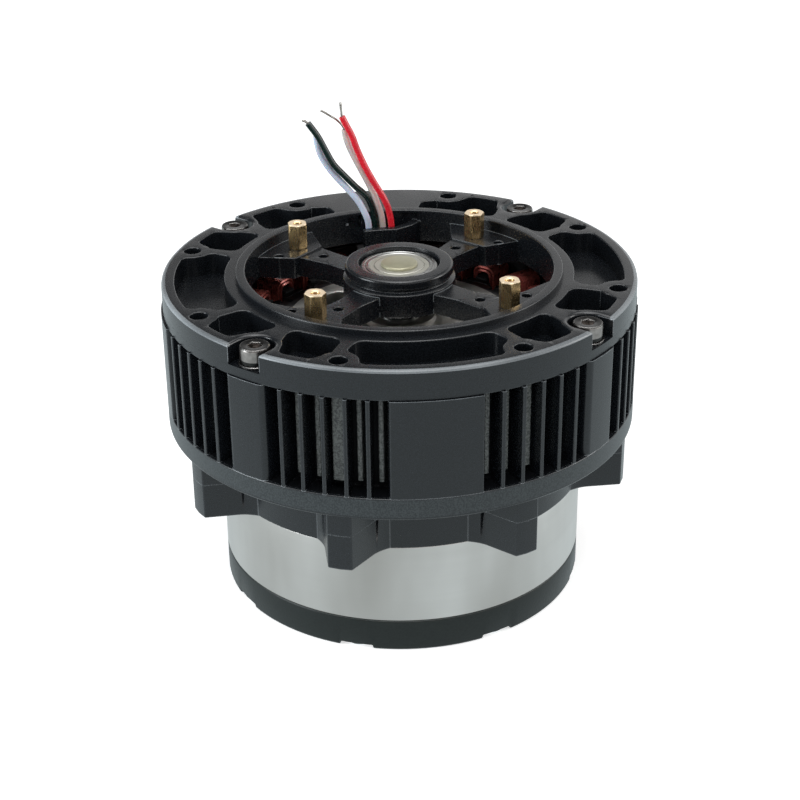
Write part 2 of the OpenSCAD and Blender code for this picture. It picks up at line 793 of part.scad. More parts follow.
module shields(z, w, outer, bore, ball) {
    mid = (outer + bore) / 2;
    for (level = [z + 0.1, z + w - shield_t - 0.1])
        tube(level, shield_t, mid + race_gap(ball), mid - race_gap(ball) + 0.08);
}

module rear_bearing_outer_race() {
    color("#55585c")
        outer_race(rear_bearing_z, bearing_w, bearing_r, shaft_r, ball_r);
}

module rear_bearing_inner_race() {
    color("#9a9da1")
        inner_race(rear_bearing_z, bearing_w, bearing_r, shaft_r, ball_r);
}

module rear_bearing_balls() {
    color("#c8cacc")
        ball_set(rear_bearing_z, bearing_w, bearing_r, shaft_r, ball_r, rotor_balls);
}

module rear_bearing_shields() {
    color("#c4c2ba")
        shields(rear_bearing_z, bearing_w, bearing_r, shaft_r, ball_r);
}

module front_bearing_outer_race() {
    color("#55585c")
        outer_race(front_bearing_z, bearing_w, bearing_r, shaft_r, ball_r);
}

module front_bearing_inner_race() {
    color("#9a9da1")
        inner_race(front_bearing_z, bearing_w, bearing_r, shaft_r, ball_r);
}

module front_bearing_balls() {
    color("#c8cacc")
        ball_set(front_bearing_z, bearing_w, bearing_r, shaft_r, ball_r, rotor_balls);
}

module front_bearing_shields() {
    color("#c4c2ba")
        shields(front_bearing_z, bearing_w, bearing_r, shaft_r, ball_r);
}

// Stator

tooth_step = 360 / teeth;
yoke_in_r = stator_seat_r - yoke_t;
shoe_r = stator_bore_r + shoe_t;

// Half of a slot's angle beside a tooth at a radius
function slot_half(r) = tooth_step / 2 - asin(tooth_w / 2 / r);
slot_opening = tooth_step * 0.13;
slot_side = [
    polar(stator_bore_r - 1, slot_opening), polar(shoe_r - 0.4, slot_opening),
    polar(shoe_r + 0.3, slot_half(shoe_r + 0.3)), polar(yoke_in_r, slot_half(yoke_in_r))
];

module slot() {
    translate([0, 0, stack_z - 1])
        linear_extrude(stack_h + 2)
            polygon(concat(slot_side, [polar(yoke_in_r, 0)],
                [for (i = [len(slot_side) - 1:-1:0]) [-slot_side[i][0], slot_side[i][1]]]));
}

module stator_core() {
    color("#6d7075")
        difference() {
            disc(stack_z, stack_h, stator_seat_r);
            disc(stack_z - 1, stack_h + 2, stator_bore_r);
            around([for (k = [0:teeth - 1]) tooth_step * (k + 0.5)])
                slot();
        }
}

// One coil round a tooth, wound as a rounded block
module coil() {
    near = shoe_r + 0.5;
    far = yoke_in_r - 0.4;
    inner_w = tooth_w / 2 + 0.1;
    outer_w = inner_w + coil_t;
    low = -insulator_t;
    high = stack_h + insulator_t;
    translate([0, -near, stack_z])
        rotate([90, 0, 0])
            linear_extrude(far - near)
                difference() {
                    polygon(rounded([
                        [-outer_w, -coil_rise, 1.6], [outer_w, -coil_rise, 1.6],
                        [outer_w, stack_h + coil_rise, 1.6], [-outer_w, stack_h + coil_rise, 1.6]
                    ]));
                    translate([-inner_w, low])
                        square([2 * inner_w, high - low]);
                }
}

module stator_coils() {
    color("#9c3b22")
        around([for (k = [0:teeth - 1]) tooth_step * k])
            coil();
}

module end_insulators() {
    color("#1c1d1f")
        for (end = [[stack_z - insulator_t, stack_z - insulator_wall_h], [stack_top, stack_top]])
            union() {
                tube(end[1], insulator_wall_h, yoke_in_r + 1.6, yoke_in_r + 0.3);
                around([for (k = [0:teeth - 1]) tooth_step * k])
                    translate([-tooth_w / 2, -yoke_in_r - 0.6, end[0]])
                        cube([tooth_w, yoke_in_r + 0.6 - shoe_r, insulator_t]);
            }
}

anchor_top = band_z - 0.7;

// Block on the insulator's wall from which the leads rise
module lead_anchor() {
    foot = stack_top + insulator_wall_h;
    back = yoke_in_r + 1.3;
    color("#1a1a1c")
        union() {
            translate([-anchor_half_w, back - anchor_wall_t, foot])
                cube([2 * anchor_half_w, anchor_wall_t, anchor_top - foot]);
            translate([-anchor_half_w, anchor_front_r, anchor_top - anchor_shelf_t])
                cube([2 * anchor_half_w, back - anchor_front_r, anchor_shelf_t]);
        }
}

// Rotor

module rotor_shaft() {
    step_top = rear_bearing_z;
    step_foot = front_bearing_z + bearing_w;
    color("#a9acb0")
        union() {
            disc(gears_z, shaft_top - gears_z, shaft_r);
            disc(step_foot, step_top - step_foot, shaft_shoulder_r);
        }
}

module encoder_magnet() {
    color("#b8b08a")
        translate([0, 0, shaft_top])
            rotate_extrude()
                polygon([
                    [0, 0], [encoder_magnet_r, 0], [encoder_magnet_r, encoder_magnet_h - 0.25],
                    [encoder_magnet_r - 0.25, encoder_magnet_h], [0, encoder_magnet_h]
                ]);
}

module rotor_hub() {
    color("#b3b6ba")
        difference() {
            union() {
                tube(stack_z, web_z + web_t + 1.5 - stack_z, hub_boss_r, shaft_shoulder_r);
                tube(stack_z, stack_h, rotor_core_in_r, rotor_core_in_r - rotor_rim_t);
                tube(web_z, web_t, rotor_core_in_r, shaft_shoulder_r);
            }
            around([for (k = [0:4]) 72 * k + 20])
                translate([0, 0, web_z - 1])
                    linear_extrude(web_t + 2)
                        polygon(rounded([
                            at(12.5, -14, 1.5), at(12.5, 14, 1.5), at(23.4, 25, 2.5),
                            at(23.8, 12), at(23.8, 0), at(23.8, -12), at(23.4, -25, 2.5)
                        ]));
        }
}

module rotor_core() {
    color("#7a7d82")
        tube(stack_z, stack_h, magnet_in_r, rotor_core_in_r);
}

module rotor_magnets() {
    sweep = 360 / magnets * magnet_cover;
    color("#3b3d42")
        around([for (k = [0:magnets - 1]) 360 / magnets * k])
            translate([0, 0, stack_z])
                rotate_extrude(angle = sweep)
                    translate([magnet_in_r, 0])
                        square([magnet_t, stack_h]);
}

// Gears: a planet tooth points at the ring and, with an even count, at the sun

module sun_gear() {
    color("#84878c")
        difference() {
            translate([0, 0, gears_z])
                linear_extrude(gear_w)
                    rotate(180 / sun_teeth)
                        polygon(gear_outline(sun_teeth, 1, 1.25, backlash));
            disc(gears_z - 1, gear_w + 2, shaft_r);
        }
}

module planet_gear(k) {
    color("#84878c")
        rotate([0, 0, 360 / planets * k])
            translate([0, -planet_orbit, gears_z])
                difference() {
                    linear_extrude(gear_w)
                        polygon(gear_outline(planet_teeth, 1, 1.25, backlash));
                    translate([0, 0, -1])
                        cylinder(r = bush_r, h = gear_w + 2);
                }
}

module planet_bush(k) {
    color("#b98a4a")
        rotate([0, 0, 360 / planets * k])
            translate([0, -planet_orbit, 0])
                tube(gears_z, gear_w, bush_r, pin_r + bush_gap);
}

module planet_gear_1() { planet_gear(0); }
module planet_gear_2() { planet_gear(1); }
module planet_gear_3() { planet_gear(2); }
module planet_bush_1() { planet_bush(0); }
module planet_bush_2() { planet_bush(1); }
module planet_bush_3() { planet_bush(2); }

module ring_gear() {
    color("#c6c3bf")
        difference() {
            union() {
                rotate_extrude()
                    polygon([
                        [planet_orbit, cover_h], [case_r - 0.25, cover_h], [case_r, cover_h + 0.25],
                        [case_r, drum_z - 0.25], [case_r - 0.25, drum_z], [planet_orbit, drum_z]
                    ]);
                disc(drum_z - eps, spigot_h - 0.2, spigot_r - 0.05);
            }
            translate([0, 0, cover_h - 1])
                linear_extrude(ring_gear_h + spigot_h + 2)
                    polygon(gear_outline(ring_teeth, 1.25, 1, -backlash));
            disc(cover_h - 1, carrier_top - cover_h + 1, ring_root_r + 0.3);
            around(eighths)
                hole(cover_screw_pcr, cover_h - 1, ring_gear_h + spigot_h + 2, cover_screw_r);
        }
}

// Carrier and output

module planet_carrier() {
    hub_z0 = output_bearing_z;
    color("#5b5f64")
        difference() {
            union() {
                disc(carrier_z, carrier_top - carrier_z, carrier_r);
                disc(hub_z0, carrier_z - hub_z0 + eps, output_bore_r);
                disc(carrier_z - 0.2, 0.3, output_bore_r + 2);
                around(post_angles)
                    translate([0, -post_orbit, carrier_top - eps])
                        cylinder(r = post_r, h = top_plate_z - carrier_top + eps);
            }
            disc(0, gears_top, carrier_bore_r);
            around(planet_angles)
                translate([0, -planet_orbit, carrier_z])
                    cylinder(r = pin_r, h = gears_top);
            around(post_angles)
                translate([0, -post_orbit, top_plate_z - post_screw_depth - 0.5])
                    cylinder(r = post_screw_r, h = gears_top);
            around(output_angles)
                hole(output_pcr, hub_z0 - 1, output_bearing_w + 1, output_hole_r);
            around(flange_screw_angles)
                hole(flange_screw_pcr, hub_z0 - 1, output_bearing_w - 1, flange_screw_r);
        }
}

module planet_pins() {
    color("#d0d2d4")
        around(planet_angles)
            translate([0, -planet_orbit, carrier_z])
                cylinder(r = pin_r, h = top_plate_top - carrier_z);
}

module carrier_top_plate() {
    color("#5b5f64")
        difference() {
            disc(top_plate_z, top_plate_t, carrier_r - 1);
            disc(top_plate_z - 1, top_plate_t + 2, sun_tip_r + 0.8);
            around(planet_angles)
                translate([0, -planet_orbit, top_plate_z - 1])
                    cylinder(r = pin_r, h = top_plate_t + 2);
            around(post_angles)
                translate([0, -post_orbit, 0]) {
                    translate([0, 0, top_plate_z - 1])
                        cylinder(r = post_screw_r, h = top_plate_t + 2);
                    translate([0, 0, post_seat_z])
                        cylinder(r = post_head_r + 0.1, h = top_plate_t);
                }
        }
}

module carrier_screws() {
    color("#3f4246")
        around(post_angles)
            translate([0, -post_orbit, 0])
                difference() {
                    union() {
                        disc(post_seat_z, 1.9, post_head_r);
                        disc(top_plate_z - post_screw_depth, top_plate_t + post_screw_depth - 1.9,
                            post_screw_r);
                    }
                    translate([0, 0, post_seat_z + 0.6])
                        cylinder(r = 1.4, h = 3, $fn = 6);
                }
}

module output_bearing_outer_race() {
    color("#b6b9bc")
        outer_race(output_bearing_z, output_bearing_w, output_bearing_r, output_bore_r, output_ball_r);
}

module output_bearing_inner_race() {
    color("#b6b9bc")
        inner_race(output_bearing_z, output_bearing_w, output_bearing_r, output_bore_r, output_ball_r);
}

module output_bearing_balls() {
    color("#d5d7d9")
        ball_set(output_bearing_z, output_bearing_w, output_bearing_r, output_bore_r, output_ball_r,
            output_balls);
}

module output_seal() {
    color("#141414")
        tube(seal_lip_t, output_bearing_z - 0.1 - seal_lip_t, output_bearing_r, flange_r + seal_gap);
}

module output_flange() {
    color("#3a3d41")
        difference() {
            translate([0, 0, flange_recess])
                rotate_extrude()
                    polygon([
                        [pilot_r, 0.4], [pilot_r + 0.4, 0], [flange_r - 0.4, 0], [flange_r, 0.4],
                        [flange_r, flange_t - 0.1], [flange_r - 1.5, flange_t + 0.1],
                        [pilot_r, flange_t + 0.1]
                    ]);
            around(output_angles)
                hole(output_pcr, -1, 6, output_hole_r);
            around(flange_screw_angles) {
                hole(flange_screw_pcr, -1, 6, flange_screw_r + 0.25);
                hole(flange_screw_pcr, -1, flange_head_top + 1, flange_head_r + 0.1);
            }
        }
}

module flange_screws() {
    color("#8d9196")
        around(flange_screw_angles)
            translate([0, -flange_screw_pcr, 0])
                difference() {
                    union() {
                        disc(flange_recess + 0.1, flange_head_top - flange_recess - 0.1, flange_head_r);
                        disc(flange_head_top - eps, 4.6, flange_screw_r);
                    }
                    translate([0, 0, -1])
                        cylinder(r = 0.9, h = 1.9, $fn = 6);
                }
}

module gearbox_cover() {
    color("#26292c")
        difference() {
            rotate_extrude()
                polygon([
                    [seal_lip_r, 0], [case_r - 0.6, 0], [case_r, 0.6], [case_r, cover_h - 0.3],
                    [case_r - 0.3, cover_h], [output_bearing_r, cover_h], [output_bearing_r, seal_lip_t],
                    [seal_lip_r, seal_lip_t]
                ]);
            around(eighths) {
                hole(cover_screw_pcr, -1, cover_h + 2, cover_screw_r);
                hole(cover_screw_pcr, -1, cover_seat_z + 1, cover_head_r + 0.3);
                translate([-notch_w / 2, -case_r - 5, -1])
                    cube([notch_w, case_r + 5 - cover_screw_pcr, notch_h + 1]);
            }
        }
}

module gearbox_screws() {
    head_foot = cover_seat_z - cover_head_h;
    color("#b9bcc0")
        around(eighths)
            translate([0, -cover_screw_pcr, 0])
                difference() {
                    union() {
                        disc(head_foot, cover_head_h, cover_head_r);
                        disc(cover_seat_z - eps, drum_z + cover_screw_grip - cover_seat_z, cover_screw_r);
                    }
                    translate([0, 0, head_foot - 1])
                        cylinder(r = cover_key_r, h = cover_head_h + 0.2, $fn = 6);
                }
}

// Leads: a tube swept along its route, with the foot square to the anchor

function heading(points, i) =
    let (n = len(points))
    unit(points[min(n - 1, i + 1)] - points[max(0, i - 1)]);

module swept(points, r, sides = 8) {
    n = len(points);
    rings = [for (i = [0:n - 1])
        let (
            dir = heading(points, i),
            side = unit(cross(dir, [0, 1, 0])),
            up = cross(side, dir)
        )
        [for (k = [0:sides - 1])
            points[i] + r * (cos(360 * k / sides) * side + sin(360 * k / sides) * up)]];
    polyhedron(
        points = [for (ring = rings) each ring],
        faces = concat(
            [[for (k = [0:sides - 1]) k]],
            [for (i = [0:n - 2], k = [0:sides - 1])
                let (m = (k + 1) % sides)
                each [
                    [i * sides + k, (i + 1) * sides + k, (i + 1) * sides + m],
                    [i * sides + k, (i + 1) * sides + m, i * sides + m]
                ]],
            [[for (k = [sides - 1:-1:0]) (n - 1) * sides + k]]
        )
    );
}

module lead(route, shade) {
    color(shade)
        swept(route, lead_d / 2);
}

module lead_red() { lead(red_route, "#e01b2b"); }
module lead_white() { lead(white_route, "#e9e0da"); }
module lead_black() { lead(black_route, "#13211f"); }
module lead_pale() { lead(pale_route, "#c9d2e6"); }

// Each strand starts face to face with its insulation
module lead_tips() {
    color("#b9b4aa")
        for (strand = strand_ends) {
            route = strand[0];
            last = route[len(route) - 1];
            out = heading(route, len(route) - 1);
            swept(concat([last, last + out * 0.4], strand[1]), lead_tip_d / 2);
        }
}

rear_end_frame();
finned_housing();
cap_screws();
cap_screw_washers();
board_standoffs();
rear_bearing_outer_race();
rear_bearing_inner_race();
rear_bearing_balls();
rear_bearing_shields();
front_bearing_outer_race();
front_bearing_inner_race();
front_bearing_balls();
front_bearing_shields();
stator_core();
stator_coils();
end_insulators();
lead_anchor();
rotor_shaft();
encoder_magnet();
rotor_hub();
rotor_core();
rotor_magnets();
sun_gear();
planet_gear_1();
planet_gear_2();
planet_gear_3();
planet_bush_1();
planet_bush_2();
planet_bush_3();
planet_carrier();
planet_pins();
carrier_top_plate();
carrier_screws();
output_bearing_outer_race();
output_bearing_inner_race();
output_bearing_balls();
output_seal();
output_flange();
flange_screws();
ring_gear();
gearbox_cover();
gearbox_screws();
lead_red();
lead_white();
lead_black();
lead_pale();
lead_tips();
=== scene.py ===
"""Planetary gear motor: castings, fasteners, windings, leads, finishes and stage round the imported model."""

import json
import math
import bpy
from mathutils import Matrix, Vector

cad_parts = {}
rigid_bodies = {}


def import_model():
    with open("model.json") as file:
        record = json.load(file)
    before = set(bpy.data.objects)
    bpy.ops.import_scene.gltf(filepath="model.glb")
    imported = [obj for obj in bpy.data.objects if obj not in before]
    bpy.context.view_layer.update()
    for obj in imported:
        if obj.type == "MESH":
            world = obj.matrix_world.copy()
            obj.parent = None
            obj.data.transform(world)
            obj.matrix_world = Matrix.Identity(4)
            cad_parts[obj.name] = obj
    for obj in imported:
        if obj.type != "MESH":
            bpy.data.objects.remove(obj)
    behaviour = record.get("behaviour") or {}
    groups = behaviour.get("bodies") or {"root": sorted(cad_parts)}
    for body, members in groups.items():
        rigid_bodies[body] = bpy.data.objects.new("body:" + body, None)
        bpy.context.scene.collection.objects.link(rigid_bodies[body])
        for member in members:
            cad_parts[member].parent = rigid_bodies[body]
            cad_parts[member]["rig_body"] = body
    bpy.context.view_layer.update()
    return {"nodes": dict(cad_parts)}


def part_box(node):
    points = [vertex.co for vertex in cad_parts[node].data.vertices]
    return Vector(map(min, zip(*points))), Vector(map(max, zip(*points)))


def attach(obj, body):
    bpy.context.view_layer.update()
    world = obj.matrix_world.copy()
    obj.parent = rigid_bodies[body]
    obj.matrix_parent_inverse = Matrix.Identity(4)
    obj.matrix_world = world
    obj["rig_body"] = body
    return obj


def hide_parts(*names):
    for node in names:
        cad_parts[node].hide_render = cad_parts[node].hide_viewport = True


bl_info = {
    "name": "Planetary gear motor",
    "version": (1, 0, 0),
    "blender": (4, 5, 0),
    "location": "View3D > Sidebar > Gear motor",
    "description": "Builds a planetary gear motor's castings, fasteners, windings, leads and finishes",
    "category": "Object",
}

from functools import cache, partial

import bmesh
import bpy
from bpy.props import FloatProperty, FloatVectorProperty, IntProperty, PointerProperty
from mathutils import Matrix, Vector

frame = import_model()

MM = 0.001
TURN = 2 * math.pi
FLAT_ANGLE, SMOOTH_ANGLE, EDGE_ANGLE = (math.radians(a) for a in (0.3, 32, 35))

# Levels that the CAD part fixes, in metres
CAP_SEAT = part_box("cap_screw_washers")[0].z
CAP_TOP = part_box("cap_screws")[1].z
STANDOFF_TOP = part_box("board_standoffs")[1].z
STACK_FOOT, STACK_TOP = (corner.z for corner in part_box("stator_core"))

# The photograph's camera, solved from it, in metres
LENS, SENSOR = 77.3, 36
VIEW_TARGET = Vector((0, 0, 80.1 * MM))
VIEW_OFFSET = Vector((-54.18, -386.96, 160.50)) * MM
VIEW_AHEAD = Vector((0.12360841, 0.88564808, -0.44760299)).normalized()
VIEW_ABOVE = Vector((0.07292636, 0.44173508, 0.89417664))

# Sizes of the castings in millimetres, as the CAD part has them
DRUM_Z, RING_Z, FIN_Z, BAND_Z, RIM_Z, LIP_Z = 29.3, 43.9, 49.5, 73.7, 81.0, 82.3
SHELL_R, FRAME_R, JACKET_R, SEAT_R, OPENING_R, DRUM_R = 58.5, 58.0, 52.6, 49.0, 37.7, 46.4
LIP_R, SPIDER_Z, SPIDER_T, PAD_Z, HUB_Z, HUB_R = 40.0, 78.8, 5.1, 79.3, 83.2, 13.3
POCKET_IN_R, POCKET_OUT_R, POCKET_FLOOR = 42.8, 54.8, 75.7
RIM_ORBIT, RIM_HOLE_R, CAP_RECESS_R, CAP_SEAT_Z = 53.8, 2.15, 4.6, 76.2
SHANK_BORE_R, RIM_CHAMFER, HOLE_WALL_R, SCREW_WALL_R = 1.96, 0.8, 4.6, 6.2
CLIP_LOW, CLIP_HIGH = 78.0, 81.6
RIGHT_CLIP, LEFT_CLIP = (167.5, 2.0, 0.8), (190.4, 2.1, 2.0)
DIAGONALS = (45, 135, 225, 315)
FIRST_HOLE = 22.5
EIGHTHS = [FIRST_HOLE + 45 * k for k in range(8)]
FIRST_FIN, FIN_STEP, FIN_T = 15.1, 5.05, 1.0
RIB_T, BROAD_RIB_T, RIB_FOOT = 1.2, 3.0, 2.4
# Thickness of the sheet that carries the painted shade in the recess, and the ledge of the lower ring under
# the fins
SHADE_SHEET_T, LEDGE = 0.25, 0.8


# Sizes and colours that a user would change


class CastingSettings(bpy.types.PropertyGroup):
    edge: FloatProperty(
        name="Edge round", description="Width of the rounded edges of the castings",
        default=0.28 * MM, min=0, unit="LENGTH", precision=5)
    grain: FloatProperty(
        name="Grain", description="Size of the blasted grain",
        default=0.42 * MM, min=0.05 * MM, unit="LENGTH", precision=5)
    colour: FloatVectorProperty(
        name="Colour", description="Anodised black of the castings",
        default=(0.0050, 0.0062, 0.0080), min=0, max=1, subtype="COLOR")
    # Pale edge tone: rubbing and a painted highlight in one.
    rub_and_highlight_colour: FloatVectorProperty(
        name="Edge colour", description="Tone of rubbing and painted highlight along the edges",
        default=(0.34, 0.37, 0.39), min=0, max=1, subtype="COLOR")
    roughness: FloatProperty(
        name="Roughness", description="Roughness of the blasted faces",
        default=0.25, min=0, max=1, subtype="FACTOR")


class FastenerSettings(bpy.types.PropertyGroup):
    cap_head: FloatProperty(
        name="Cap screw head", description="Radius of the cap screws' heads",
        default=3.5 * MM, min=MM, unit="LENGTH", precision=5)
    cap_key: FloatProperty(
        name="Cap screw key", description="Width across flats of the cap screws' sockets",
        default=3.0 * MM, min=MM, unit="LENGTH", precision=5)
    cap_orbit: FloatProperty(
        name="Cap screw circle", description="Pitch circle radius of the cap screws",
        default=53.8 * MM, min=0, unit="LENGTH", precision=5)
    standoff_flats: FloatProperty(
        name="Standoff flats", description="Width across flats of the standoffs",
        default=4.5 * MM, min=MM, unit="LENGTH", precision=5)
    standoff_orbit: FloatProperty(
        name="Standoff circle", description="Pitch circle radius of the standoffs",
        default=32.3 * MM, min=0, unit="LENGTH", precision=5)
    cover_orbit: FloatProperty(
        name="Cover screw circle", description="Pitch circle radius of the gearbox screws",
        default=42.4 * MM, min=0, unit="LENGTH", precision=5)
    brass: FloatVectorProperty(
        name="Brass", description="Colour of the standoffs",
        default=(0.64, 0.45, 0.22), min=0, max=1, subtype="COLOR")


class WindingSettings(bpy.types.PropertyGroup):
    teeth: IntProperty(name="Teeth", description="Number of wound stator teeth", default=24, min=3)
    turns: IntProperty(
        name="Turns", description="Turns side by side along a tooth", default=12, min=1)
    layers: IntProperty(name="Layers", description="Layers of wire on a tooth", default=2, min=1)
    wire: FloatProperty(
        name="Wire", description="Diameter of the enamelled wire",
        default=0.86 * MM, min=0.1 * MM, unit="LENGTH", precision=5)
    colour: FloatVectorProperty(
        name="Enamel", description="Colour of the enamelled copper",
        default=(0.42, 0.10, 0.08), min=0, max=1, subtype="COLOR")


class LeadSettings(bpy.types.PropertyGroup):
    diameter: FloatProperty(
        name="Lead", description="Diameter of a lead over its insulation",
        default=1.7 * MM, min=0.3 * MM, unit="LENGTH", precision=5)
    strand: FloatProperty(
        name="Strand", description="Diameter of one strand of a bare end",
        default=0.26 * MM, min=0.05 * MM, unit="LENGTH", precision=5)
    red: FloatVectorProperty(
        name="Red", description="Red insulation", default=(0.78, 0.018, 0.035), subtype="COLOR")
    white: FloatVectorProperty(
        name="White", description="Warm white insulation", default=(0.80, 0.70, 0.66), subtype="COLOR")
    black: FloatVectorProperty(
        name="Black", description="Green-black insulation", default=(0.004, 0.017, 0.014), subtype="COLOR")
    pale: FloatVectorProperty(
        name="Pale", description="Pale blue insulation", default=(0.60, 0.66, 0.80), subtype="COLOR")


class StageSettings(bpy.types.PropertyGroup):
    floor: FloatVectorProperty(
        name="Floor", description="Colour of the floor", default=(0.86, 0.86, 0.86), subtype="COLOR")
    key_power: FloatProperty(
        name="Left light", description="Power of the soft light on the left", default=2.2, unit="POWER")
    fill_power: FloatProperty(
        name="Right light", description="Power of the soft light on the right", default=1.0, unit="POWER")
    top_power: FloatProperty(
        name="Top light", description="Power of the soft light over the camera", default=2.0, unit="POWER")


GROUPS = {
    "motor_castings": CastingSettings,
    "motor_fasteners": FastenerSettings,
    "motor_windings": WindingSettings,
    "motor_leads": LeadSettings,
    "motor_stage": StageSettings,
}


def look_of(name):
    """The settings of one kind of piece."""
    return getattr(bpy.context.scene, name)


# Node trees from Python expressions


class Wire:
    """An output socket that Python's arithmetic extends with Math nodes."""

    def __init__(self, maker, socket):
        self.maker = maker
        self.socket = socket

    def maths(self, operation, *values, clamp=False):
        return self.maker.node("ShaderNodeMath", {"operation": operation, "use_clamp": clamp}, values)[0]

    def __add__(self, other):
        return self.maths("ADD", self, other)

    def __sub__(self, other):
        return self.maths("SUBTRACT", self, other)

    def __mul__(self, other):
        return self.maths("MULTIPLY", self, other)

    def __truediv__(self, other):
        return self.maths("DIVIDE", self, other)

    def __mod__(self, other):
        return self.maths("FLOORED_MODULO", self, other)

    def __rsub__(self, other):
        return self.maths("SUBTRACT", other, self)

    def __rtruediv__(self, other):
        return self.maths("DIVIDE", other, self)

    def __pow__(self, other):
        return self.maths("POWER", self, other)

    __radd__ = __add__
    __rmul__ = __mul__

    def unit(self):
        """Held between 0 and 1."""
        return self.maths("ADD", self, 0.0, clamp=True)

    def inside(self, low, high):
        """1 between two numbers, 0 outside."""
        return self.maths("GREATER_THAN", self, low) * self.maths("LESS_THAN", self, high)

    def sharpened(self, gain):
        """Spread about a half and held between 0 and 1."""
        return ((self - 0.5) * gain + 0.5).unit()

    def sine(self):
        return self.maths("SINE", self)

    def cosine(self):
        return self.maths("COSINE", self)

    def floor(self):
        return self.maths("FLOOR", self)


class Outputs:
    """The outputs of one node, by name or number."""

    def __init__(self, maker, node):
        self.maker = maker
        self.node = node

    def __getitem__(self, key):
        return Wire(self.maker, self.node.outputs[key])


class Maker:
    """Adds nodes to one tree."""

    def __init__(self, tree):
        self.tree = tree

    def node(self, kind, settings=None, values=()):
        """A new node: its settings first, then the values or links of its sockets."""
        node = self.tree.nodes.new(kind)
        for key, value in (settings or {}).items():
            setattr(node, key, value)
        pairs = values.items() if isinstance(values, dict) else enumerate(values)
        for key, value in pairs:
            if isinstance(value, Wire):
                self.tree.links.new(value.socket, node.inputs[key])
            elif value is not None:
                node.inputs[key].default_value = value
        return Outputs(self, node)


class Finish(Maker):
    """A material on the Principled shader, patterned in Object coordinates."""

    def __init__(self, name):
        self.material = bpy.data.materials.new(name)
        self.material.use_nodes = True
        super().__init__(self.material.node_tree)
        self.shader = self.tree.nodes["Principled BSDF"]
        self.place = self.node("ShaderNodeTexCoord")["Object"]

    def noise(self, size, detail=2.0, stretch=(1, 1, 1)):
        """Soft noise with grains of a size in metres, longer where stretch is above 1."""
        place = self.place
        if stretch != (1, 1, 1):
            scale = tuple(1 / s for s in stretch)
            place = self.node("ShaderNodeMapping", None, {"Vector": place, "Scale": scale})[0]
        return self.node(
            "ShaderNodeTexNoise", None, {"Vector": place, "Scale": 1 / size, "Detail": detail})[0]

    def mix(self, share, first, second):
        """From the first colour to the second."""
        def colour(value):
            return value if isinstance(value, Wire) else (*value, 1)

        return self.node(
            "ShaderNodeMix", {"data_type": "RGBA"}, {0: share, 6: colour(first), 7: colour(second)})[2]

    def axes(self):
        """The place's distances along X, Y and Z."""
        parts = self.node("ShaderNodeSeparateXYZ", None, [self.place])
        return parts[0], parts[1], parts[2]

    def radius(self):
        """Distance from the motor's axis."""
        x, y, _ = self.axes()
        return (x * x + y * y) ** 0.5

    def height(self):
        return self.axes()[2]

    def rings(self, step):
        """Waves round the motor's axis, a step in metres apart."""
        return (self.radius() * (TURN / step)).sine()

    def edges(self, width, gain=7.0):
        """1 on sharp outer edges and 0 on faces."""
        bent = self.node("ShaderNodeBevel", {"samples": 6}, {"Radius": width})[0]
        plain = self.node("ShaderNodeNewGeometry")["Normal"]
        along = self.node("ShaderNodeVectorMath", {"operation": "DOT_PRODUCT"}, [bent, plain])["Value"]
        return ((1 - along) * gain).unit()

    def bump(self, height, depth, strength=1.0):
        self.shader_input("Normal", self.node(
            "ShaderNodeBump", None, {"Strength": strength, "Distance": depth, "Height": height})[0])

    def shader_input(self, key, value):
        socket = self.shader.inputs[key]
        if isinstance(value, Wire):
            self.tree.links.new(value.socket, socket)
        elif isinstance(value, (tuple, list)):
            socket.default_value = (*value, 1)
        else:
            socket.default_value = value

    def done(self, **sockets):
        for key, value in sockets.items():
            self.shader_input(key.replace("_", " "), value)
        return self.material


# Finishes, each made once


def scaled(colour, share):
    return tuple(min(1, c * share) for c in colour)


@cache
def black_casting():
    """Blasted and black anodised aluminium, its edges painted pale for rubbing and a painted highlight in
    one, the rim's outer top edge for a painted highlight.
    """
    look = look_of("motor_castings")
    f = Finish("Black anodised casting")
    grain = f.noise(look.grain, 1.5)
    speck = f.noise(look.grain * 0.8, 0).sharpened(4)
    cloud = f.noise(26 * MM, 2)
    height, radius = f.height(), f.radius()
    seam = height.inside((CAP_SEAT_Z - 1.2) * MM, (CAP_SEAT_Z + 0.6) * MM)
    pad_top = height.inside((PAD_Z - 0.25) * MM, (PAD_Z + 0.3) * MM)
    lip_top = height.inside((LIP_Z - 0.4) * MM, 1)
    inner_wall = radius.inside(20 * MM, (LIP_R + 1) * MM) * (1 - (pad_top + lip_top))
    # Painted highlight along the rim's outer top edge, patchy.
    rim_edge_highlight = height.inside((RIM_Z - 0.9 * RIM_CHAMFER) * MM, 1) * radius.inside((FRAME_R - 1) * MM, 1)
    # Pale edges: rubbing and a painted highlight in one.
    rubbed_and_highlit_edges = f.edges(0.24 * MM, 9) * (0.45 + f.noise(2.4 * MM) * 0.8) * ((1 - seam) * (1 - inner_wall))
    rub_and_highlight_mask = ((rubbed_and_highlit_edges + rim_edge_highlight * (cloud * 1.5 - 0.1)) * 0.85).unit()
    tone = f.mix((cloud * 0.4 + speck * 0.6).unit(), scaled(look.colour, 0.6), scaled(look.colour, 1.7))
    coarse = f.mix(speck, (0.012, 0.016, 0.018), (0.032, 0.039, 0.042))
    lower_ring = height.inside((RING_Z + 0.8) * MM, (FIN_Z - 0.4) * MM)
    f.bump(grain * 0.7 + speck * 0.3, 0.014 * MM, 0.3)
    return f.done(
        Base_Color=f.mix(rub_and_highlight_mask, f.mix(lower_ring, tone, coarse), tuple(look.rub_and_highlight_colour)),
        Roughness=(look.roughness - 0.06 + grain * 0.12 + cloud * 0.05 + lower_ring * 0.1).unit())


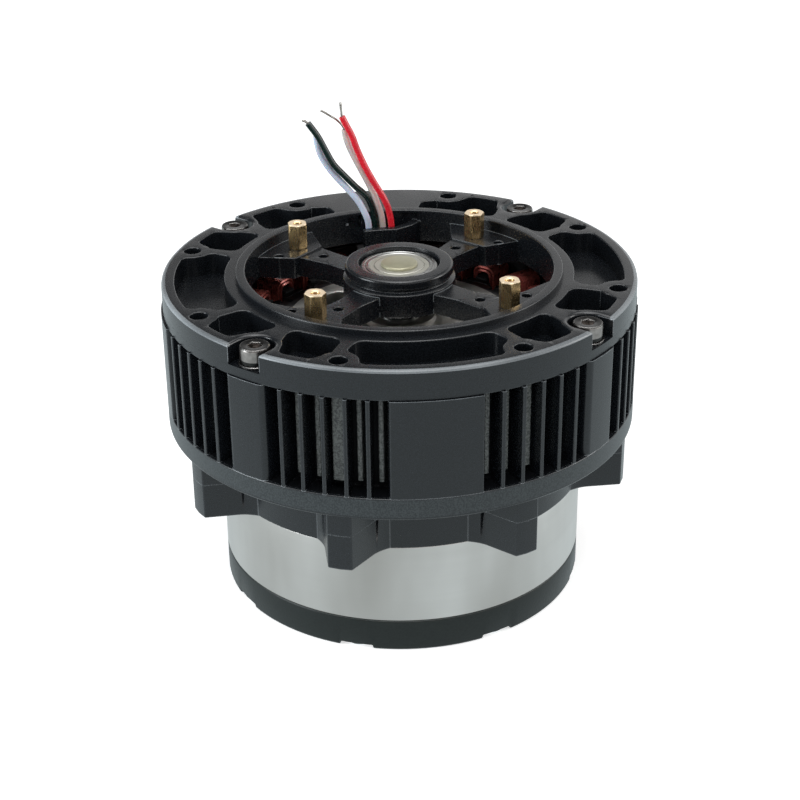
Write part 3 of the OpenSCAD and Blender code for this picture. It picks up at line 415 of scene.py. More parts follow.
@cache
def lit_rib_black():
    """Black of the ribs, painted lighter than the casting they belong to: painted light, with coarse pale
    specks.
    """
    look = look_of("motor_castings")
    f = Finish("Rib black")
    grain = f.noise(look.grain, 1.5)
    speck = f.noise(look.grain * 1.1, 1).sharpened(5)
    f.bump(grain + speck * 0.5, 0.05 * MM, 0.4)
    # The whole rib is painted lighter than the casting: painted light.
    return f.done(
        Base_Color=f.mix(speck, (0.05, 0.056, 0.055), (0.15, 0.165, 0.16)), Roughness=0.4 + grain * 0.2)


@cache
def recess_painted_shade():
    """Painted shade: a near-black, matt finish for the bottom between the fins, barely reflecting, with faint
    grain.
    """
    look = look_of("motor_castings")
    f = Finish("Recess black")
    grain = f.noise(look.grain, 1.5)
    f.bump(grain, 0.05 * MM, 0.4)
    return f.done(
        Specular_IOR_Level=0.1, Roughness=0.5 + grain * 0.2,
        Base_Color=f.mix(grain, (0.0015, 0.0018, 0.0025), (0.004, 0.0048, 0.006)))


@cache
def black_cover_finish():
    """Coarser green-black coating of the gearbox cover."""
    look = look_of("motor_castings")
    f = Finish("Black coated cover")
    grain = f.noise(look.grain * 1.5, 2.5)
    cloud = f.noise(18 * MM, 2)
    tone = f.mix((grain * 0.8 + cloud * 0.4 - 0.1).unit(), (0.002, 0.004, 0.0036), (0.012, 0.017, 0.0155))
    f.bump(grain, 0.07 * MM, 0.45)
    return f.done(
        Specular_IOR_Level=0.34, Roughness=0.32 + grain * 0.16,
        # Edges painted paler: a painted highlight.
        Base_Color=f.mix(f.edges(0.3 * MM) * 0.5, tone, (0.09, 0.1, 0.095)))


@cache
def turned_ring():
    """Turned steel of the ring gear's outside, with faint stains."""
    f = Finish("Turned ring steel")
    lines = f.noise(0.16 * MM, 3, (400, 400, 1))
    bands = f.noise(2.2 * MM, 2, (60, 60, 1))
    stain = f.noise(24 * MM, 3, (1, 1, 3))
    tone = f.mix(stain.sharpened(2.4), (0.42, 0.395, 0.37), (0.68, 0.655, 0.63))
    f.bump(lines + bands * 0.4, 0.012 * MM, 0.22)
    return f.done(
        Base_Color=f.mix(bands * 0.4, tone, (0.48, 0.455, 0.43)),
        Roughness=0.26 + lines * 0.09 + stain * 0.08, Metallic=1.0)


def steel(name, dark, light, rough, line=0.12, stretch=(1, 1, 1), depth=0.008, wear=0.0):
    """Machined metal: fine lines, slow change of tone and, where asked, edges painted bright for rubbing and
    a painted highlight in one.
    """
    f = Finish(name)
    lines = f.noise(line * MM, 2, stretch)
    cloud = f.noise(6 * MM, 2)
    tone = f.mix((lines * 0.5 + cloud * 0.7 - 0.1).unit(), dark, light)
    if wear:
        # Bright edges: rubbing and a painted highlight in one.
        tone = f.mix(f.edges(0.18 * MM) * wear, tone, (0.75, 0.75, 0.74))
    f.bump(lines, depth * MM, 0.3)
    return f.done(Base_Color=tone, Roughness=rough + lines * 0.12 + cloud * 0.05, Metallic=1.0)


def machined(*tones, **lines):
    """A finish of machined metal with its own tones and lines."""
    return cache(partial(steel, *tones, **lines))


TURNED_LINES, MILLED_LINES = (30, 30, 1), (1, 1, 30)
bright_steel = machined("Bright steel", (0.5, 0.5, 0.5), (0.68, 0.68, 0.67), 0.2, depth=0.006)
race_steel = machined(
    "Ground race steel", (0.3, 0.305, 0.3), (0.5, 0.5, 0.48), 0.2, line=0.09, stretch=TURNED_LINES, wear=0.6)
inner_race_steel = machined("Inner race steel", (0.42, 0.415, 0.36), (0.58, 0.57, 0.52), 0.4)
gear_steel = machined(
    "Gear steel", (0.27, 0.28, 0.29), (0.42, 0.42, 0.43), 0.26, line=0.14, stretch=MILLED_LINES, depth=0.012,
    wear=0.4)
shaft_steel = machined(
    "Ground shaft steel", (0.38, 0.39, 0.4), (0.52, 0.52, 0.52), 0.18, line=0.1, stretch=TURNED_LINES)
carrier_steel = machined(
    "Blackened steel", (0.06, 0.065, 0.07), (0.13, 0.135, 0.14), 0.32, line=0.3, depth=0.02, wear=0.3)
rotor_alloy = machined(
    "Turned rotor alloy", (0.62, 0.61, 0.58), (0.84, 0.83, 0.79), 0.34, line=0.2, depth=0.01, wear=0.25)
rotor_iron = machined(
    "Rotor iron", (0.14, 0.145, 0.15), (0.24, 0.24, 0.25), 0.36, line=0.2, stretch=(20, 20, 1))
magnet_plate = machined("Plated magnet", (0.1, 0.1, 0.11), (0.2, 0.2, 0.21), 0.28, line=0.3)
bush_bronze = machined("Sintered bronze", (0.3, 0.17, 0.07), (0.48, 0.3, 0.14), 0.4, line=0.25, depth=0.03)
flange_steel = machined(
    "Dark flange steel", (0.07, 0.075, 0.08), (0.13, 0.135, 0.14), 0.3, depth=0.012, wear=0.35)


@cache
def screw_steel():
    """Blackened heads, their edges painted pale for rubbing and a painted highlight in one; the knurled sides
    painted lighter than the tops, a painted light.
    """
    f = Finish("Screw steel")
    lines = f.noise(0.25 * MM, 2, (1, 1, 4))
    cloud = f.noise(1.2 * MM, 2)
    # The knurled side, just under the top face, is painted lighter than the top: painted light.
    top = f.height().inside(CAP_TOP - 3 * MM, CAP_TOP - 0.3 * MM)
    tone = f.mix(cloud, (0.016, 0.016, 0.016), (0.05, 0.049, 0.047))
    side = f.mix(cloud, (0.16, 0.145, 0.135), (0.40, 0.37, 0.35))
    f.bump(lines, 0.02 * MM, 0.3)
    return f.done(
        # Pale edges: rubbing and a painted highlight in one.
        Base_Color=f.mix(f.edges(0.2 * MM, 9), f.mix(top, tone, side), (0.72, 0.70, 0.68)),
        Roughness=0.24 + lines * 0.14, Metallic=1.0)


@cache
def standoff_brass():
    """Milled brass, its corners painted paler as a painted highlight; the faced top paler and rougher."""
    colour = look_of("motor_fasteners").brass
    f = Finish("Standoff brass")
    lines = f.noise(0.18 * MM, 2, (1, 1, 6))
    cloud = f.noise(1.6 * MM, 2)
    tone = f.mix(cloud, scaled(colour, 1.1), scaled(colour, 1.5))
    faced = f.height().inside(STANDOFF_TOP - 0.25 * MM, 1)
    f.bump(lines, 0.003 * MM, 0.2)
    return f.done(
        # Corners painted pale: a painted highlight.
        Base_Color=f.mix((faced + f.edges(0.2 * MM) * 0.6).unit(), tone, (0.92, 0.74, 0.52)),
        Roughness=0.18 + lines * 0.1 + cloud * 0.08 + faced * 0.2, Metallic=1 - faced * 0.6)


@cache
def encoder_nickel():
    """Satin nickel with a warm olive cast and faint turning rings."""
    f = Finish("Encoder magnet nickel")
    rings = f.rings(0.22 * MM)
    cloud = f.noise(1.7 * MM, 3)
    tone = f.mix(cloud, (0.33, 0.315, 0.21), (0.46, 0.44, 0.31))
    f.bump(rings * 0.4 + f.noise(0.15 * MM) * 0.8, 0.006 * MM, 0.3)
    return f.done(
        # Edges painted pale: a painted highlight.
        Base_Color=f.mix(f.edges(0.14 * MM) * 0.7, tone, (0.95, 0.93, 0.84)),
        Roughness=0.3 + cloud * 0.14, Metallic=0.4)


@cache
def shield_steel():
    """Pressed shield with fine rings round the bore."""
    f = Finish("Bearing shield steel")
    f.bump(f.rings(0.3 * MM), 0.01 * MM, 0.35)
    return f.done(
        Base_Color=f.mix(f.noise(3 * MM), (0.38, 0.375, 0.32), (0.50, 0.49, 0.43)),
        Roughness=0.36 + f.noise(0.4 * MM) * 0.12, Metallic=0.45)


@cache
def laminations():
    """Stacked sheets: thin dark seams every half millimetre."""
    f = Finish("Stator laminations")
    sheet = (f.height() * (TURN / (0.5 * MM))).cosine() * 0.5 + 0.5
    seam = sheet ** 6
    tone = f.mix(f.noise(1.5 * MM), (0.1, 0.1, 0.105), (0.2, 0.2, 0.21))
    f.bump(1 - seam, 0.03 * MM, 0.6)
    return f.done(
        Base_Color=f.mix(seam, tone, (0.03, 0.03, 0.03)),
        Roughness=0.38 + f.noise(0.3 * MM) * 0.14, Metallic=1.0)


@cache
def enamelled_copper():
    """Dark red enamel over copper."""
    colour = look_of("motor_windings").colour
    f = Finish("Enamelled copper")
    cloud = f.noise(1.4 * MM, 2)
    tone = f.mix(cloud, scaled(colour, 0.55), scaled(colour, 1.5))
    f.bump(f.noise(0.25 * MM), 0.012 * MM, 0.3)
    return f.done(Base_Color=tone, Roughness=0.22 + cloud * 0.14, Metallic=0.55, Coat_Weight=0.35)


@cache
def black_plastic():
    """Moulded plastic of the lead anchor and the end insulators."""
    f = Finish("Matt black plastic")
    grain = f.noise(0.3 * MM, 2)
    f.bump(grain, 0.02 * MM, 0.3)
    return f.done(
        Base_Color=f.mix(f.noise(4 * MM), (0.012, 0.012, 0.013), (0.026, 0.026, 0.028)),
        Roughness=0.5 + grain * 0.16)


@cache
def seal_rubber():
    """Dull rubber with fine turned rings."""
    f = Finish("Seal rubber")
    f.bump(f.rings(0.45 * MM) * 0.5 + f.noise(0.2 * MM), 0.02 * MM, 0.4)
    return f.done(
        Base_Color=f.mix(f.noise(3 * MM), (0.008, 0.008, 0.008), (0.018, 0.018, 0.018)),
        Roughness=0.58 + f.noise(0.5 * MM) * 0.15)


@cache
def tinned_strand():
    """Tinned copper of the leads' bare ends."""
    f = Finish("Tinned strands")
    cloud = f.noise(0.5 * MM, 2)
    f.bump(f.noise(0.12 * MM), 0.01 * MM, 0.3)
    return f.done(
        Base_Color=f.mix(cloud, (0.36, 0.33, 0.3), (0.6, 0.57, 0.53)),
        Roughness=0.26 + cloud * 0.16, Metallic=1.0)


def insulation(name, colour, clear):
    """Glossy extruded insulation, uneven over a few diameters."""
    f = Finish(name)
    long_noise = f.noise(5 * MM, 2)
    fine = f.noise(0.5 * MM, 1)
    tone = f.mix(long_noise, scaled(colour, 0.84), scaled(colour, 1.08))
    f.bump(fine, 0.02 * MM, 0.25)
    return f.done(
        Base_Color=tone, Roughness=0.2 + fine * 0.16, Coat_Weight=0.25,
        Subsurface_Weight=clear, Subsurface_Scale=0.6 * MM)


# Meshes


def collection():
    return bpy.context.scene.collection


def add_piece(name, mesh, material, node):
    """Puts a finished mesh in the scene, on the body of the CAD node it stands for."""
    mesh.materials.clear()
    mesh.materials.append(material)
    piece = bpy.data.objects.new(name, mesh)
    collection().objects.link(piece)
    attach(piece, frame["nodes"][node]["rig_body"])
    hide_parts(node)
    return piece


def mesh_of(name, verts, faces):
    """A closed mesh with its faces turned outwards and its flat and round parts told apart."""
    mesh = bpy.data.meshes.new(name)
    mesh.from_pydata(verts, [], faces)
    shape = bmesh.new()
    shape.from_mesh(mesh)
    bmesh.ops.remove_doubles(shape, verts=shape.verts, dist=1e-7)
    bmesh.ops.recalc_face_normals(shape, faces=shape.faces)
    shape.to_mesh(mesh)
    shape.free()
    smooth(mesh)
    return mesh


def smooth(mesh):
    mesh.shade_smooth()
    mesh.set_sharp_from_angle(angle=SMOOTH_ANGLE)


def rings_mesh(name, rings, closed=False):
    """Skins rings of equally many points. An open stack is capped, a closed one runs back to its start."""
    count = len(rings[0])
    verts = [point for ring in rings for point in ring]
    faces = []
    last = len(rings) if closed else len(rings) - 1
    for i in range(last):
        a, b = i * count, (i + 1) % len(rings) * count
        faces += [(a + k, a + (k + 1) % count, b + (k + 1) % count, b + k) for k in range(count)]
    if not closed:
        faces.append(tuple(range(count)))
        faces.append(tuple(range(len(verts) - count, len(verts))))
    return mesh_of(name, verts, faces)


def hexagon(apothem, angle):
    """Radius of a hexagon's outline at an angle."""
    return apothem / math.cos((angle + math.pi / 6) % (math.pi / 3) - math.pi / 6)


def stacked(profile, count, turn=0.0):
    """Rings round the Z axis from (radius, height), where a radius may be a function of the angle."""
    rings = []
    for radius, z in profile:
        reach = radius if callable(radius) else lambda angle, r=radius: r
        angles = [TURN * k / count for k in range(count)]
        rings.append([(reach(t) * math.cos(t + turn), reach(t) * math.sin(t + turn), z) for t in angles])
    return rings


# Outlines and castings are drawn in millimetres


def at(r, degrees, edge=0):
    """A point at a radius and at degrees round from the front, with a corner radius."""
    angle = math.radians(degrees)
    return (r * math.sin(angle), -r * math.cos(angle), edge)


def arc(r, start, end, steps):
    return [at(r, start + (end - start) * k / steps) for k in range(steps + 1)]


def arc_about(centre, r, start, end, steps):
    """Points round a centre, from a start to an end in degrees, where 0 is along +X."""
    turns = [math.radians(start + (end - start) * k / steps) for k in range(steps + 1)]
    return [(centre[0] + r * math.cos(t), centre[1] + r * math.sin(t), 0) for t in turns]


def circle(r, steps=180):
    return arc(r, 0, 360 * (steps - 1) / steps, steps - 1)


def round_hole(orbit, degrees, r, steps=28):
    return arc_about(at(orbit, degrees), r, 0, 360 * (steps - 1) / steps, steps - 1)


def mirrored(path):
    return [(-x, y, edge) for x, y, edge in reversed(path)]


def turn_point(point, degrees):
    return Matrix.Rotation(math.radians(degrees), 2) @ Vector(point[:2])


def set_round(path, quarters, ways=(1,)):
    """Copies of an outline at quarter turns, mirrored where a way is -1."""
    return [[turn_point((way * x, y), 90 * q) for x, y in path] for way in ways for q in quarters]


def rounded(path, steps=6):
    """An outline of (x, y, corner radius) as plain points, with its corners rounded."""
    points = []
    for i, (x, y, r) in enumerate(path):
        here = Vector((x, y))
        if not r:
            points.append(here)
            continue
        u = (Vector(path[i - 1][:2]) - here).normalized()
        v = (Vector(path[(i + 1) % len(path)][:2]) - here).normalized()
        half = math.acos(max(-1, min(1, u.dot(v)))) / 2
        centre = here + (u + v).normalized() * r / math.sin(half)
        start = here + u * r / math.tan(half) - centre
        turn = start.angle_signed(here + v * r / math.tan(half) - centre)
        points += [centre + Matrix.Rotation(-turn * k / steps, 2) @ start for k in range(steps + 1)]
    return points


def winding(loop):
    return sum(a.x * b.y - b.x * a.y for a, b in zip(loop, loop[1:] + loop[:1]))


def inset(loop, distance):
    """The loop moved to its left, its corners mitred."""
    moved = []
    for before, here, after in zip(loop[-1:] + loop[:-1], loop, loop[1:] + loop[:1]):
        a, b = (here - before).normalized(), (after - here).normalized()
        a, b = Vector((-a.y, a.x)), Vector((-b.y, b.x))
        moved.append(here + (a + b) * distance / max(0.3, 1 + a.dot(b)))
    return moved


def slab(outer, holes, low, high, edge=0.3, foot_edge=0.0, outer_edge=None, steps=3):
    """A plate from an outline with holes, its top edges rounded, and its foot's too where asked."""
    shape = bmesh.new()
    ends = ([], [])
    for number, loop in enumerate([outer, *holes]):
        loop = [Vector(p[:2]) for p in loop]
        if (winding(loop) > 0) != (number == 0):
            loop.reverse()
        levels = []
        top_edge = outer_edge if outer_edge and number == 0 else edge
        for radius, level, way in ((foot_edge, low, 1), (top_edge, high, -1)):
            quarter = [k / steps * math.pi / 2 for k in range(steps + 1)] if radius else [0]
            bend = [(radius * (1 - math.cos(t)), level + way * radius * (1 - math.sin(t))) for t in quarter]
            levels += bend[::-1] if way == 1 else bend
        stack = [[shape.verts.new((*p, z)) for p in (inset(loop, d) if d else loop)] for d, z in levels]
        for below, above in zip(stack, stack[1:]):
            for k in range(len(loop)):
                m = (k + 1) % len(loop)
                shape.faces.new((below[k], below[m], above[m], above[k]))
        for end, ring in zip(ends, (stack[0], stack[-1])):
            end += [shape.edges.get((ring[k - 1], ring[k])) for k in range(len(ring))]
    for end in ends:
        bmesh.ops.triangle_fill(shape, use_beauty=True, use_dissolve=False, edges=end)
    return shape


def lathed(profile, count=192, steps=4):
    """A solid turned from a closed outline of (radius, height, corner radius)."""
    outline = rounded(profile, steps)
    shape = bmesh.new()
    rings = [[shape.verts.new((*at(r, 360 * k / count)[:2], z)) for k in range(count)] for r, z in outline]
    for below, above in zip(rings, rings[1:] + rings[:1]):
        for k in range(count):
            m = (k + 1) % count
            shape.faces.new((below[k], below[m], above[m], above[k]))
    return shape


def turned(shape, degrees):
    turn = Matrix.Rotation(math.radians(degrees), 3, "Z")
    bmesh.ops.rotate(shape, verts=shape.verts, cent=(0, 0, 0), matrix=turn)
    return shape


def cast(name, shapes, extra=()):
    """One mesh in metres from shapes in millimetres and meshes, its flat faces kept flat."""
    mesh = bpy.data.meshes.new(name)
    whole = bmesh.new()
    for shape in shapes:
        bmesh.ops.recalc_face_normals(shape, faces=shape.faces)
        part = bpy.data.meshes.new(name)
        shape.to_mesh(part)
        shape.free()
        whole.from_mesh(part)
        bpy.data.meshes.remove(part)
    bmesh.ops.scale(whole, vec=(MM, MM, MM), verts=whole.verts)
    for part in extra:
        whole.from_mesh(part)
    whole.to_mesh(mesh)
    whole.free()
    smooth(mesh)
    holder = bpy.data.objects.new(name, mesh)
    collection().objects.link(holder)
    weighted = holder.modifiers.new("Flat faces", "WEIGHTED_NORMAL")
    weighted.keep_sharp = True
    weighted.weight = 100
    made = evaluated_mesh(holder)
    made.name = name
    return made


def softened(name, node, width):
    """The CAD node's shape with its sharp edges rounded."""
    mesh = frame["nodes"][node].data.copy()
    mesh.name = name
    shape = bmesh.new()
    shape.from_mesh(mesh)
    bmesh.ops.remove_doubles(shape, verts=shape.verts, dist=2e-6)
    bmesh.ops.dissolve_limit(
        shape, angle_limit=FLAT_ANGLE, verts=shape.verts, edges=shape.edges, use_dissolve_boundaries=False)
    bmesh.ops.dissolve_degenerate(shape, dist=1e-6, edges=shape.edges)
    shape.to_mesh(mesh)
    shape.free()
    holder = bpy.data.objects.new(name, mesh)
    collection().objects.link(holder)
    bevel = holder.modifiers.new("Edges", "BEVEL")
    bevel.width = width
    bevel.segments = 2
    bevel.limit_method = "ANGLE"
    bevel.angle_limit = EDGE_ANGLE
    bevel.use_clamp_overlap = False
    bevel.miter_outer = "MITER_PATCH"
    plain = evaluated_mesh(holder)
    smooth(plain)
    return plain


def evaluated_mesh(holder):
    """The mesh that an object's modifiers make; the object goes."""
    bpy.context.view_layer.update()
    depsgraph = bpy.context.evaluated_depsgraph_get()
    mesh = bpy.data.meshes.new_from_object(holder.evaluated_get(depsgraph), depsgraph=depsgraph)
    bpy.data.objects.remove(holder)
    return mesh


# Geometry Nodes


def geometry_tree(name, inputs):
    """A new geometry tree with named inputs; gives its maker and the wires of its inputs."""
    tree = bpy.data.node_groups.new(name, "GeometryNodeTree")
    tree.interface.new_socket("Geometry", in_out="INPUT", socket_type="NodeSocketGeometry")
    for label, kind, default in inputs:
        socket = tree.interface.new_socket(label, in_out="INPUT", socket_type="NodeSocket" + kind)
        if default is not None:
            socket.default_value = default
    tree.interface.new_socket("Geometry", in_out="OUTPUT", socket_type="NodeSocketGeometry")
    maker = Maker(tree)
    source = maker.node("NodeGroupInput")
    return maker, {label: source[label] for label in ("Geometry", *(label for label, _, _ in inputs))}


def copies_at(maker, count, place, copy, **turns):
    """Copies of some geometry, each at a place that may follow from its index."""
    points = maker.node("GeometryNodeMeshLine", {"mode": "OFFSET"}, {"Count": count, "Offset": (0, 0, 0)})[0]
    if place:
        points = maker.node("GeometryNodeSetPosition", None, {"Geometry": points, "Position": place})[0]
    return maker.node("GeometryNodeInstanceOnPoints", None, {"Points": points, "Instance": copy, **turns})[0]


def turn_about(maker, axis, angle):
    return maker.node("FunctionNodeAxisAngleToRotation", None, {"Axis": axis, "Angle": angle})[0]


def tube_of(maker, curve, radius, caps=False):
    """A six-sided tube along a curve."""
    section = maker.node("GeometryNodeCurvePrimitiveCircle", None, {"Resolution": 6, "Radius": radius})[0]
    return maker.node("GeometryNodeCurveToMesh", None, {
        "Curve": curve, "Profile Curve": section, "Fill Caps": caps})[0]


def close_tree(maker, geometry, material):
    """Ends a tree in Realize Instances and Set Material."""
    real = maker.node("GeometryNodeRealizeInstances", None, {"Geometry": geometry})[0]
    dressed = maker.node("GeometryNodeSetMaterial", None, {"Geometry": real, "Material": material})[0]
    maker.node("NodeGroupOutput", None, {0: dressed})
    return maker.tree


@cache
def ring_tree():
    """Copies of an object round the motor's axis: equal groups, each a run of copies a step apart."""
    maker, wires = geometry_tree("Ring of copies", [
        ("Copy", "Object", None), ("Groups", "Int", 4), ("Run", "Int", 1), ("Step", "Float", 0.0),
        ("Pitch radius", "Float", 0.0), ("First angle", "Float", 0.0), ("Material", "Material", None)])
    index = maker.node("GeometryNodeInputIndex")[0]
    group = (index / wires["Run"]).floor()
    angle = group * TURN / wires["Groups"] + (index % wires["Run"]) * wires["Step"] + wires["First angle"]
    place = maker.node("ShaderNodeCombineXYZ", None, [
        angle.sine() * wires["Pitch radius"], angle.cosine() * wires["Pitch radius"] * -1, 0.0])[0]
    copy = maker.node("GeometryNodeObjectInfo", {"transform_space": "ORIGINAL"}, {"Object": wires["Copy"]})
    copies = copies_at(
        maker, wires["Groups"] * wires["Run"], place, copy["Geometry"],
        Rotation=turn_about(maker, (0, 0, 1), angle))
    return close_tree(maker, copies, wires["Material"])


LAYER_GROWTH = 1.75
STRAND_WOBBLE, WOBBLE_GROWTH = 0.35, 1.6


@cache
def coil_tree():
    """One coil: rounded loops of wire side by side along the tooth, layer over layer."""
    maker, wires = geometry_tree("Coil turns", [
        ("Tooth width", "Float", 0.0), ("Stack height", "Float", 0.0), ("Corner", "Float", 0.0),
        ("Wire", "Float", 0.0), ("Turns", "Int", 12), ("Layers", "Int", 2), ("First turn", "Float", 0.0),
        ("Pitch", "Float", 0.0), ("Material", "Material", None)])
    wire = wires["Wire"]
    width = wires["Tooth width"] + wire
    height = wires["Stack height"] + wire
    loop = maker.node("GeometryNodeCurvePrimitiveQuadrilateral", None, {"Width": width, "Height": height})[0]
    fillet = maker.node("GeometryNodeFilletCurve", {"mode": "POLY"}, {
        "Curve": loop, "Radius": wires["Corner"], "Count": 3})
    index = maker.node("GeometryNodeInputIndex")[0]
    layer = (index / wires["Turns"]).floor()
    turn = index % wires["Turns"]
    along = wires["First turn"] + (turn + layer * 0.5) * wires["Pitch"]
    place = maker.node("ShaderNodeCombineXYZ", None, [0.0, along * -1, 0.0])[0]
    growth = layer * wire * LAYER_GROWTH
    scale = maker.node("ShaderNodeCombineXYZ", None, [1 + growth / width, 1 + growth / height, 1.0])[0]
    upright = turn_about(maker, (1, 0, 0), math.pi / 2)
    count = wires["Turns"] * wires["Layers"]
    loops = copies_at(maker, count, place, fillet[0], Rotation=upright, Scale=scale)
    real = maker.node("GeometryNodeRealizeInstances", None, {"Geometry": loops})[0]
    return close_tree(maker, tube_of(maker, real, wire * 0.5), wires["Material"])


@cache
def strand_tree():
    """Strands twisted round the middle one along a curve, each a little uneven."""
    maker, wires = geometry_tree("Twisted strands", [
        ("Strand", "Float", 0.0), ("Strands", "Int", 6), ("Twist", "Float", 0.0), ("Spread", "Float", 0.0),
        ("Seed", "Int", 0), ("Material", "Material", None)])
    base = maker.node("GeometryNodeResampleCurve", None, {"Curve": wires["Geometry"], "Count": 24})[0]
    copies = copies_at(maker, wires["Strands"], None, base)
    number = maker.node("GeometryNodeInputIndex")[0]
    kept = maker.node("GeometryNodeStoreNamedAttribute", {"data_type": "FLOAT", "domain": "INSTANCE"}, {
        "Geometry": copies, "Name": "strand", "Value": number})[0]
    real = maker.node("GeometryNodeRealizeInstances", None, {"Geometry": kept})[0]
    strand = maker.node("GeometryNodeInputNamedAttribute", {"data_type": "FLOAT"}, {"Name": "strand"})[0]
    share = maker.node("GeometryNodeSplineParameter")[0]
    wobble = maker.node("FunctionNodeRandomValue", {"data_type": "FLOAT"}, {
        2: -STRAND_WOBBLE, 3: STRAND_WOBBLE, "ID": strand, "Seed": wires["Seed"]})[1]
    angle = strand * TURN / wires["Strands"] + share * wires["Twist"] + wobble
    reach = wires["Spread"] * (1 + share * wobble * WOBBLE_GROWTH)
    normal = maker.node("GeometryNodeInputNormal")[0]
    tangent = maker.node("GeometryNodeInputTangent")[0]

    def vector(operation, values):
        return maker.node("ShaderNodeVectorMath", {"operation": operation}, values)[0]

    across = vector("CROSS_PRODUCT", [tangent, normal])
    offset = vector("ADD", [
        vector("SCALE", {0: normal, "Scale": angle.cosine() * reach}),
        vector("SCALE", {0: across, "Scale": angle.sine() * reach})])
    moved = maker.node("GeometryNodeSetPosition", None, {"Geometry": real, "Offset": offset})[0]
    return close_tree(maker, tube_of(maker, moved, wires["Strand"] * 0.5, True), wires["Material"])


def grown(name, tree, holder_data, **values):
    """The mesh that a tree grows, with its named inputs set first."""
    holder = bpy.data.objects.new(name, holder_data)
    collection().objects.link(holder)
    modifier = holder.modifiers.new("Grow", "NODES")
    modifier.node_group = tree
    for item in tree.interface.items_tree:
        key = item.name.replace(" ", "_").lower()
        if item.in_out == "INPUT" and key in values:
            modifier[item.identifier] = values[key]
    mesh = evaluated_mesh(holder)
    mesh.name = name
    return mesh


def ring_of(name, mesh, groups, pitch, first, material, run=1, step=0.0):
    """One mesh of copies round the axis, from a copy made about the origin."""
    copy = bpy.data.objects.new(name + "_copy", mesh)
    collection().objects.link(copy)
    made = grown(
        name, ring_tree(), bpy.data.meshes.new(name), copy=copy, groups=groups, run=run, step=step,
        pitch_radius=pitch, first_angle=first, material=material)
    bpy.data.objects.remove(copy)
    smooth(made)
    return made


# Leads: the CAD routes, in millimetres, from the anchor to the stripped ends

LEADS = {
    "lead_red": [
        (2.8, 34, 73), (2.8, 34, 79.5), (2.1, 34.1, 83.8), (0.9, 34.1, 87), (-1.5, 34.2, 91.3),
        (-3.7, 34.3, 95.6), (-5.8, 34.3, 100.6), (-7, 34.3, 104.2), (-8.4, 34.3, 107.1), (-9.5, 34.3, 109.5)],
    "lead_white": [
        (0.9, 36.1, 73), (0.6, 36.1, 80.5), (-0.6, 36.1, 85), (-2.3, 36.2, 89.6), (-4.5, 36.2, 94.2),
        (-6.9, 36.2, 99.2), (-8.2, 36.2, 102.7), (-8.7, 36.2, 105.5)],
    "lead_black": [
        (-1.1, 36.2, 73), (-1.1, 36.2, 79.5), (-1.8, 36.1, 83.5), (-3.4, 35.8, 87.2), (-6.2, 35.5, 90.1),
        (-9.3, 35.1, 93.6), (-12, 34.8, 96.9), (-13.9, 34.8, 100.6), (-15.8, 34.8, 104.5),
        (-18.2, 34.8, 108.1)],
    "lead_pale": [
        (-3.2, 34, 73), (-3.2, 34, 79.3), (-3.8, 34, 82.3), (-5.6, 34.6, 86.2), (-8.4, 35.4, 89.7),
        (-12.3, 36.4, 94.3), (-14.8, 36.9, 98.4), (-15.7, 36.9, 101.6), (-16, 36.9, 103.9)],
}
STRAND_ENDS = {
    "lead_red": [(-9.7, 34.3, 111.5), (-9.8, 34.3, 113.2)],
    "lead_white": [(-9.9, 36.2, 107.4), (-12.7, 36.2, 109.6), (-14.7, 36.2, 110.8)],
    "lead_black": [(-18.9, 34.8, 108.6), (-19.6, 34.8, 108.9)],
    "lead_pale": [(-16.1, 36.9, 104.9), (-16.1, 36.9, 105.8)],
}
INSULATIONS = {
    "lead_red": ("Red insulation", "red", 0.15, "red_insulation"),
    "lead_white": ("White insulation", "white", 0.3, "white_insulation"),
    "lead_black": ("Black insulation", "black", 0.0, "black_insulation"),
    "lead_pale": ("Pale insulation", "pale", 0.3, "pale_insulation"),
}
LEAD_SIDES = 20
CORE_SHARE = 0.26
STRANDS, STRAND_TWIST, STRAND_SPREAD = 6, TURN * 0.8, 0.62
STRAND_START = 0.6


def curve_through(points, steps):
    """A smooth run through the points, with steps points to a span."""
    pts = [Vector(p) for p in points]
    ends = [2 * pts[0] - pts[1], *pts, 2 * pts[-1] - pts[-2]]
    run = []
    for i in range(1, len(ends) - 2):
        a, b, c, d = ends[i - 1:i + 3]
        for k in range(steps):
            t = k / steps
            run.append(0.5 * (2 * b + (c - a) * t + (2 * a - 5 * b + 4 * c - d) * t * t
                              + (3 * b - a - 3 * c + d) * t ** 3))
    return [*run, pts[-1]]


def length_of(points):
    return sum((b - a).length for a, b in zip(points, points[1:]))


def tube_along(name, run, radius, bore):
    """A tube swept along a run, its far end cut square round the conductor."""
    last = len(run) - 1
    headings = [(run[min(i + 1, last)] - run[max(i - 1, 0)]).normalized() for i in range(last + 1)]
    side = Vector((0, 1, 0))
    frames = []
    for heading in headings:
        side = (side - heading * side.dot(heading)).normalized()
        frames.append((side, heading.cross(side)))

    def ring(i, r, shift=0.0):
        a, b = frames[i]
        centre = run[i] + headings[i] * shift
        turns = [TURN * k / LEAD_SIDES for k in range(LEAD_SIDES)]
        return [centre + a * (r * math.cos(t)) + b * (r * math.sin(t)) for t in turns]

    edge = radius * 0.12
    rings = [ring(i, radius) for i in range(last)]
    rings += [ring(last, radius, -edge), ring(last, radius - edge), ring(last, bore)]
    rings.append(ring(last, bore * 0.96, -radius))
    return rings_mesh(name, rings)


# Operators


